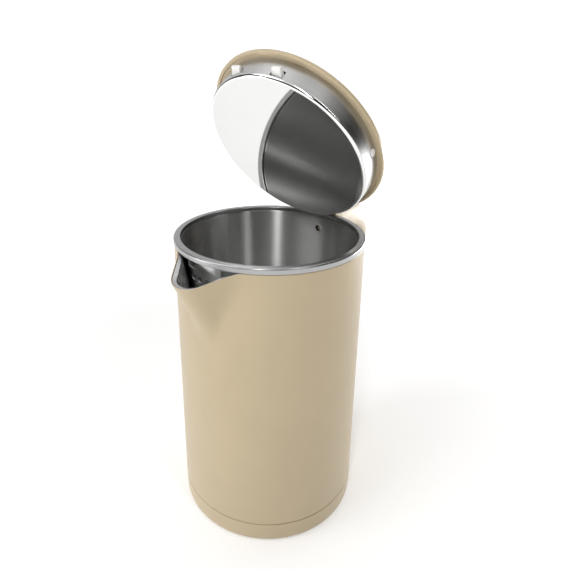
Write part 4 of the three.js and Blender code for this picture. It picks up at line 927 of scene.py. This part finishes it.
def add_screws(part, places, z, length, high):
    """Screws whose heads' flat sides lie at a height z."""
    for i, (x, y) in enumerate(places, 1):
        fine = screw(f"{part}_screw_fine_{i}", length, high)
        finished(placed(fine, at(x, y, z)), f"{part}_screw_{i}")


def connector_tower():
    foot_z = DISH - WALL - FIT
    r, top = TOWER_R, TOWER_TOP
    groove = top - 8
    outline = rounded([
        (2.9, foot_z - 2.4), (24, foot_z - 2.4, 0.4), (24, foot_z, 0.4), (r, foot_z),
        (r, top - 4.6), (r - 0.25, top - 4.4), (r - 0.25, top - 4.0), (r, top - 3.8),
        (r, top, 1.4), (12.2, top, 0.4), (12.2, groove), (7.4, groove), (7.4, top, 0.4),
        (2.9, top, 0.8)], 6)
    return turned("connector_tower", outline, ROUND_MIDDLE)


def tube(name, inner, outer, low, high):
    return turned(name, rounded([(inner, low, 0.1), (outer, low, 0.1), (outer, high, 0.3),
                                 (inner, high, 0.3)], 4), ROUND_MIDDLE)


def gland():
    inside, outside = BODY_R - WALL - FIT, BODY_R + FIT
    outline = rounded([
        (3.7, inside - 5, 0.3), (5.2, inside - 5, 0.4), (6, inside - 2), (6, inside - 0.4),
        (5.2, inside - 0.4), (5.2, outside), (6.8, outside, 0.2), (6.8, outside + 2, 0.8),
        (3.7, outside + 2, 0.4)], 5)
    turn = Matrix.Translation((0, 0, GLAND_Z * MM)) @ Matrix.Rotation(pi / 2, 4, "Y")
    return placed(turned("gland", outline, ROUND_SMALL), turn)


finished(base_cover(), "base_shell")
finished(base_floor(), "base_plate")
finished(connector_tower(), "base_connector")
finished(tube("tower_contact", 10.8, 11.9, TOWER_TOP - 7.7, TOWER_TOP - 1.5),
         "base_contact_ring")
finished(gland(), "cord_gland")
for i, (x, y) in enumerate(FEET, 1):
    finished(placed(foot(), at(x, y)), f"base_foot_{i}")
add_screws("base", BASE_SCREWS, BASE_SEAT, length=9, high=1.8)


# ---------- underside of the kettle ----------

SOCKET_IN = TOWER_R + 0.6
SOCKET_OUT = SOCKET_IN + 4
SOCKET_ROOF = TOWER_TOP + 0.6
COVER_SCREWS = around(3, BODY_R - 10.5, 60)
COVER_LOW, COVER_TOP = BASE_TOP + FIT, SHELL_LOW + WALL


def socket():
    low, high = height("connector_socket")
    outline = rounded([
        (0, SOCKET_ROOF), (SOCKET_IN, SOCKET_ROOF, 0.6), (SOCKET_IN, low + 1, 0.4),
        (SOCKET_IN + 1, low, 0.3), (SOCKET_OUT, low, 0.4), (SOCKET_OUT, high, 1), (0, high)], 5)
    return turned("socket", outline, ROUND_MIDDLE)


def socket_pin():
    top = SOCKET_ROOF - FIT
    return turned("socket_pin_fine", rounded([
        (0, top - 12), (1.2, top - 12, 0.5), (2, top - 11, 0.4), (2, top), (0, top)], 5),
        ROUND_SMALL)


def cover():
    """The kettle's floor: two raised rings, wells for its screws and ears for the switch."""
    low, top = COVER_LOW, COVER_TOP
    rim_top = top + 6
    rim_r, hole = shell_radius(rim_top) - WALL - FIT, SOCKET_OUT + FIT
    grooves = [(at_r + across, low + up) for at_r in (31, 45, 56)
               for across, up in ((0, 0), (0.4, 0.5), (1.4, 0.5), (1.8, 0))]
    outline = rounded([
        (hole, low, 0.4), *grooves, (rim_r, low, 0.5), (rim_r, rim_top, 0.3),
        (rim_r - 1.8, rim_top), (rim_r - 1.8, top), (hole + 1.8, top),
        (hole + 1.8, top + 4), (hole, top + 4)], 5)
    ears = [upright("ear", [(PIVOT.x - 7, top - 1), (PIVOT.x + 3.5, top - 1),
                            *arc(PIVOT.x, PIVOT.z, 3.5, 0, 180, 16)], y, 2.4)
            for y in (-10.4, 10.4)]
    ways = [*posts(COVER_SCREWS, SCREW_WAY, low - 1, top + 1),
            *posts(COVER_SCREWS, 4.5, top, rim_top + 1),
            crosswise("way", PIN_HOLE, PIVOT)]
    piece = fused(turned("kettle_floor", outline), *ears)
    wells = posts(COVER_SCREWS, SCREW_WELL, low - 1, COVER_SEAT + FIT)
    return carved(carved(piece, *wells), *ways)


finished(socket(), "connector_socket")
finished(tube("socket_contact", 7.7, 8.8, TOWER_TOP - 6, SOCKET_ROOF - FIT), "socket_ring")
finished(socket_pin(), "socket_pin")
finished(cover(), "bottom_cover")
add_screws("cover", COVER_SCREWS, COVER_SEAT, length=10, high=1.6)


# ---------- switch lever ----------

LEVER_TIP = BODY_R + 23
LIGHT_X = LEVER_TIP - 13


def lever():
    x, z = PIVOT.x, PIVOT.z
    arm = upright("lever", rounded([
        (x - 7, z - 2, 0.6), (LEVER_TIP - 12, z - 2, 3), (LEVER_TIP - 2, z - 5, 0.5),
        (LEVER_TIP, z - 3.4, 0.7), (LEVER_TIP - 9, z + 2, 4), (x - 7, z + 2, 0.6)], 6), 0, 14)
    hub = crosswise("hub", 3.4, PIVOT, 8.9)
    softened(arm, 0.6, 3, 50)
    return carved(fused(arm, hub), crosswise("way", PIN_HOLE, PIVOT),
                  post(3, z - 9, z + 9, LIGHT_X))


def light_lens():
    z = PIVOT.z
    dome = [(2.7 * cos(t), z + 2 + 0.9 * sin(t))
            for t in (pi / 2 * k / 8 for k in range(8))]
    return placed(turned("light_lens", [(0, z - 2), (2.5, z - 2), (2.7, z - 1.8), *dome,
                                        (0, z + 2.9)], ROUND_SMALL), at(LIGHT_X, 0))


finished(lever(), "switch_lever")
finished(light_lens(), "indicator_lens")


# ---------- lid, described shut and then turned open ----------

LID_R = SHELL_TOP_R - 0.7
PLUG_R = POT_R - 0.9
LID_EDGE, LID_CROWN, LID_WALL = 3.4, 3.6, 2.2
BUMPER_Z = LID_Z - 2.7
BUTTON_X = PLUG_R - 26.4
BUTTON_LONG, BUTTON_WIDE = 26.0, 15.0


def lid_top(r):
    return LID_Z + LID_EDGE + LID_CROWN * (1 - (r / LID_R) ** 2)


def plug_radius(z):
    return PLUG_R - (LID_Z - z) / (LID_Z - PLUG_Z)


def knuckle(y):
    outline = [(LID_R - 2.4, HINGE.z - 2), (HINGE.x - 2.2, HINGE.z - 2.2),
               *arc(HINGE.x, HINGE.z, HINGE_ROUND, -130, 110, 28), (LID_R - 2.4, HINGE.z + 1)]
    return upright("knuckle", outline, y, 4.4)


def lid_cover():
    r = PLUG_R + FIT
    crown = [(LID_R - 4.4) * (1 - k / 16) for k in range(1, 17)]
    outline = rounded([
        (r, LID_Z + 1.0), (PLUG_R + 2.4, LID_Z + 1.0), (PLUG_R + 2.7, LID_Z),
        (LID_R, LID_Z, 0.9), (LID_R, lid_top(LID_R) - 0.1, 1.5),
        (LID_R - 3.2, lid_top(LID_R - 3.2)), *[(x, lid_top(x)) for x in crown],
        *[(x, lid_top(x) - LID_WALL) for x in reversed(crown)],
        (PLUG_R - 1.2, lid_top(PLUG_R) - LID_WALL)], 8)
    piece = fused(turned("lid_cover", outline), knuckle(6.4), knuckle(-6.4))
    window = stadium(BUTTON_LONG + 0.8, BUTTON_WIDE + 0.8, BUTTON_X)
    carved(piece, prism("window", window, LID_Z, LID_Z + 20),
           crosswise("pin_way", PIN_HOLE, HINGE))
    return placed(piece, LID_PLACE)


def lid_plug():
    top, low, thin = LID_Z + 1.4, plug_radius(PLUG_Z), 0.7
    outline = rounded([
        (0, PLUG_Z), (low, PLUG_Z, 2.4), (PLUG_R, LID_Z), (PLUG_R, top), (PLUG_R - thin, top),
        (PLUG_R - thin, LID_Z), (low - thin, PLUG_Z + thin, 1.4), (0, PLUG_Z + thin)], 8)
    ways = [rod("way", 3.1, (0, side * (PLUG_R - 6), BUMPER_Z), (0, side * (PLUG_R + 3), BUMPER_Z))
            for side in (-1, 1)]
    piece = carved(turned("lid_pan_fine", outline), *ways,
                   *latch_windows(*PAN_WINDOW, PLUG_R - 12, PLUG_R + 2))
    return placed(piece, LID_PLACE)


def bumper(name, side):
    tip = POT_R - 0.3
    piece = turned(f"bumper_{name}", rounded([
        (0, tip - 4.1), (2.8, tip - 4.1), (2.8, tip, 0.9), (0, tip)], 8), ROUND_SMALL)
    return placed(piece, LID_PLACE @ at(0, 0, BUMPER_Z)
                  @ Matrix.Rotation(-side * pi / 2, 4, "X"))


def button():
    under, top = lid_top(BUTTON_X) - LID_WALL - FIT, lid_top(BUTTON_X) + 0.6
    cap = prism("button_cap", stadium(BUTTON_LONG, BUTTON_WIDE, BUTTON_X), under - 1.5, top)
    softened(cap, 0.9, 5)
    flange = prism("flange", stadium(BUTTON_LONG + 4, BUTTON_WIDE + 4, BUTTON_X),
                   under - 1.8, under - 0.8)
    return placed(fused(cap, flange), LID_PLACE)


def fine_copy(name, node, width):
    """The node's own shape with its edges rounded."""
    mesh = bmesh.new()
    mesh.from_mesh(frame["nodes"][node].data)
    bmesh.ops.remove_doubles(mesh, verts=mesh.verts, dist=1e-6)
    bmesh.ops.dissolve_limit(mesh, angle_limit=radians(1), verts=mesh.verts,
                             edges=mesh.edges)
    return softened(object_from(name, mesh), width)


finished(lid_cover(), "lid_shell", lid_cream)
finished(lid_plug(), "lid_pan")
for side, name in ((1, "left"), (-1, "right")):
    finished(bumper(name, side), f"lid_bumper_{name}")
finished(fine_copy("latch_fine", "latch_slider", 0.35), "latch_slider")
finished(button(), "lid_button", lid_cream)


# ---------- handle ----------

TOP_ARM, LOW_ARM = 31.0, 28.0
TOP_BEND, LOW_BEND, INNER_BEND = 24.0, 34.0, 13.0
SUPER = 2.6  # the section's power: 2 is an ellipse
HALVES_APART = 0.1  # each half stops this short of the seam


def handle_rails():
    """The handle's outer and inner outlines in the XZ plane, as matching runs of points."""
    root = SHELL_TOP_R - 3

    def straight(start, end, count):
        return [Vector(start).lerp(Vector(end), k / count) for k in range(1, count)]

    def path(x, top, low, upper, lower):
        a = arc(x - upper, top - upper, upper, 90, 0, 20)
        b = arc(x - lower, low + lower, lower, 0, -90, 20)
        return ([Vector((root, top))] + straight((root, top), a[0], 6) + [Vector(p) for p in a]
                + straight(a[-1], b[0], 10) + [Vector(p) for p in b]
                + straight(b[-1], (root, low), 6) + [Vector((root, low))])

    outer = path(GRIP_REACH, HANDLE_TOP, HANDLE_LOW, TOP_BEND, LOW_BEND)
    inner = path(GRIP_REACH - GRIP_DEPTH, HANDLE_TOP - TOP_ARM, HANDLE_LOW + LOW_ARM,
                 INNER_BEND, INNER_BEND)
    return list(zip(outer, inner))


def section(point, reach, width):
    """A half ring of the handle's rounded section. The point takes (across, up)."""
    ring = []
    for turn in (pi * k / 28 for k in range(29)):
        across, up = (copysign(abs(value) ** (2 / SUPER), value)
                      for value in spoke(1, turn))
        ring.append(point(across * width, max(up * reach, HALVES_APART)))
    return ring


def handle_ring(outer, inner, side):
    centre, half = (outer + inner) / 2, (outer - inner) / 2
    depth = half.length

    def point(across, up):
        flat = centre + half * side * (up / depth)
        return Vector((flat.x, across, flat.y))

    skin = section(point, depth, GRIP_HALF)
    return skin + section(point, depth - WALL, GRIP_HALF - WALL)[::-1]


def body_envelope():
    return turned("envelope", [
        (0, -10), (shell_radius(-10) + FIT, -10), (shell_radius(SHELL_TOP) + FIT, SHELL_TOP),
        (RING_R + FIT, SHELL_TOP + 0.01), (RING_R + FIT, RING_TOP + 20), (0, RING_TOP + 20)])


def hinge_ear(y):
    front = RING_R + 0.4
    outline = [(front, HINGE.z - 23), (front + 14, HINGE.z - 23), (front + 14, HANDLE_TOP - 4),
               *arc(HINGE.x, HINGE.z, HINGE_ROUND, 40, 175, 24), (front, HINGE.z - 4.3)]
    return softened(upright("ear", outline, y, 3.6), 0.5)


def hinge_hood():
    """The handle's top rises behind the hinge, level with the lid, and closes it off."""
    front, back = HINGE.x + 3.6, GRIP_REACH - 9
    bend, middle = GRIP_REACH - TOP_BEND, HANDLE_TOP - TOP_ARM / 2
    rise = HINGE.z + 3.4 - HANDLE_TOP
    rings = []
    for share in (k / 30 for k in range(31)):
        x = front + (back - front) * share
        fall = TOP_BEND - sqrt(TOP_BEND ** 2 - max(x - bend, 0) ** 2)
        plain = HANDLE_TOP - fall - middle
        wide = GRIP_HALF - 0.2 - 1.4 * share ** 3

        def point(across, up):
            return Vector((x, across, middle + up))

        skin = section(point, plain + rise * (1 - share ** 3) - 0.6 * share, wide)
        rings.append(skin + section(point, plain - WALL, wide - WALL)[::-1])
    return softened(lofted("hood", rings), 1.0, 3, 60)


def handle_half(name, side):
    rings = [handle_ring(outer, inner, side) for outer, inner in handle_rails()]
    piece = lofted(name, rings)
    if side > 0:
        fused(piece, hinge_ear(-11.2), hinge_ear(11.2), hinge_hood())
        carved(piece, crosswise("pin_way", PIN_HOLE - 0.1, HINGE))
    return carved(piece, body_envelope())


def hinge_spring():
    turns, half = 4, 3.5
    path = []
    for turn in (2 * pi * turns * k / 160 for k in range(161)):
        x, z = spoke(2.25, turn)
        path.append((HINGE.x + x, half - 2 * half * turn / (2 * pi * turns), HINGE.z + z))
    return piped("hinge_spring_fine", path, 0.35, sides=12)


finished(handle_half("handle_back", 1), "handle_outer")
finished(handle_half("handle_front", -1), "handle_inner")
finished(softened(crosswise("hinge_rod", 1.5, HINGE, 13), 0.25), "hinge_pin")
finished(hinge_spring(), "hinge_spring")


# ---------- floor and light ----------

# Soft lights in the sky: azimuth, elevation, half width and softness in degrees, strength.
SKY_LIGHTS = ((60, 45, 45, 12, 0.72), (150, 42, 15, 8, 3.0), (180, 42, 15, 8, 0.7),
              (-66, 58, 26, 14, 0.22))
OVERHEAD = 0.45
BACKDROP = 1.1
# Softboxes: azimuth in degrees, lower and upper edge, distance and width in metres, strength.
SOFTBOXES = {"strip_left": (-153, 0.50, 1.15, 0.75, 0.09, 13),
             "strip_right": (-106, 0.50, 1.15, 0.75, 0.045, 14),
             "edge_right": (-14, 0.02, 0.22, 1.2, 0.78, 17),
             "edge_left": (140, 0.02, 0.22, 1.2, 0.42, 11)}
AIM = Vector((0, 0, 0.15))
FLOOR_HALF = 4000  # millimetres


def light_sky():
    world = bpy.data.worlds.new("studio")
    bpy.context.scene.world = world
    world.use_nodes = True
    sky = Shading(world.node_tree)
    way = sky.node("ShaderNodeTexCoord").outputs["Generated"]
    x, y, z = (Value(sky, out) for out in sky.node("ShaderNodeSeparateXYZ", None, [way]).outputs)
    glow = sky.clipped(z, 0.72, 0.92) * OVERHEAD
    for azimuth, elevation, spread, soft, strength in SKY_LIGHTS:
        a, e = radians(azimuth), radians(elevation)
        towards = (x * (cos(a) * cos(e)) + y * (sin(a) * cos(e))
                   + z * sin(e))
        low, high = cos(radians(spread + soft)), cos(radians(spread - soft))
        glow = glow + sky.clipped(towards, low, high) * strength
    seen = Value(sky, sky.node("ShaderNodeLightPath").outputs["Is Camera Ray"])
    shine = world.node_tree.nodes["Background"].inputs
    sky.connect(shine["Color"], (1, 1, 1, 1))
    sky.connect(shine["Strength"], glow * (1 - seen) + seen * BACKDROP)


def lay_floor():
    """Plain paper with a painted glow: weak near the kettle, and as bright as the backdrop far from the kettle."""
    mesh = bmesh.new()
    bmesh.ops.create_grid(mesh, x_segments=2, y_segments=2, size=FLOOR_HALF)
    floor = new_piece("floor", mesh)
    # The floor glows through emission. This painted light also reaches the kettle's underside.
    paper = Finish("glowing_paper_floor", (0.93, 0.93, 0.93), 0.9, Emission_Strength=0.5)
    place = paper.place()
    fibre = paper.noise(place, scale=40.0)
    paper.set("Roughness", paper.span(fibre, 0.85, 0.95))
    away = paper.node("ShaderNodeVectorMath", {"operation": "LENGTH"}, [place])
    # Painted glow: grey close to the kettle, full white from a metre out.
    far = paper.clipped(away.outputs["Value"], 0.3, 1.0)
    paper.set("Emission Color", paper.blended(far, (0.4, 0.4, 0.4), (1, 1, 1)))
    floor.data.materials.append(paper.material)


def add_softbox(name, azimuth, low, high, distance, width, strength):
    """A lamp that faces the axis and that the camera doesn't see."""
    light = bpy.data.objects.new(name, bpy.data.lights.new(name, "AREA"))
    a = radians(azimuth)
    light.location = (*spoke(distance, a), (low + high) / 2)
    light.rotation_euler = (light.location - AIM).to_track_quat("Z", "Y").to_euler()
    light.data.shape = "RECTANGLE"
    light.data.size, light.data.size_y = width, high - low
    light.data.energy = strength * pi * width * (high - low)
    light.visible_camera = False
    bpy.context.scene.collection.objects.link(light)


light_sky()
lay_floor()
for name, facts in SOFTBOXES.items():
    add_softbox(name, *facts)
bpy.context.scene.view_settings.view_transform = "Standard"
bpy.context.scene.view_settings.look = "None"
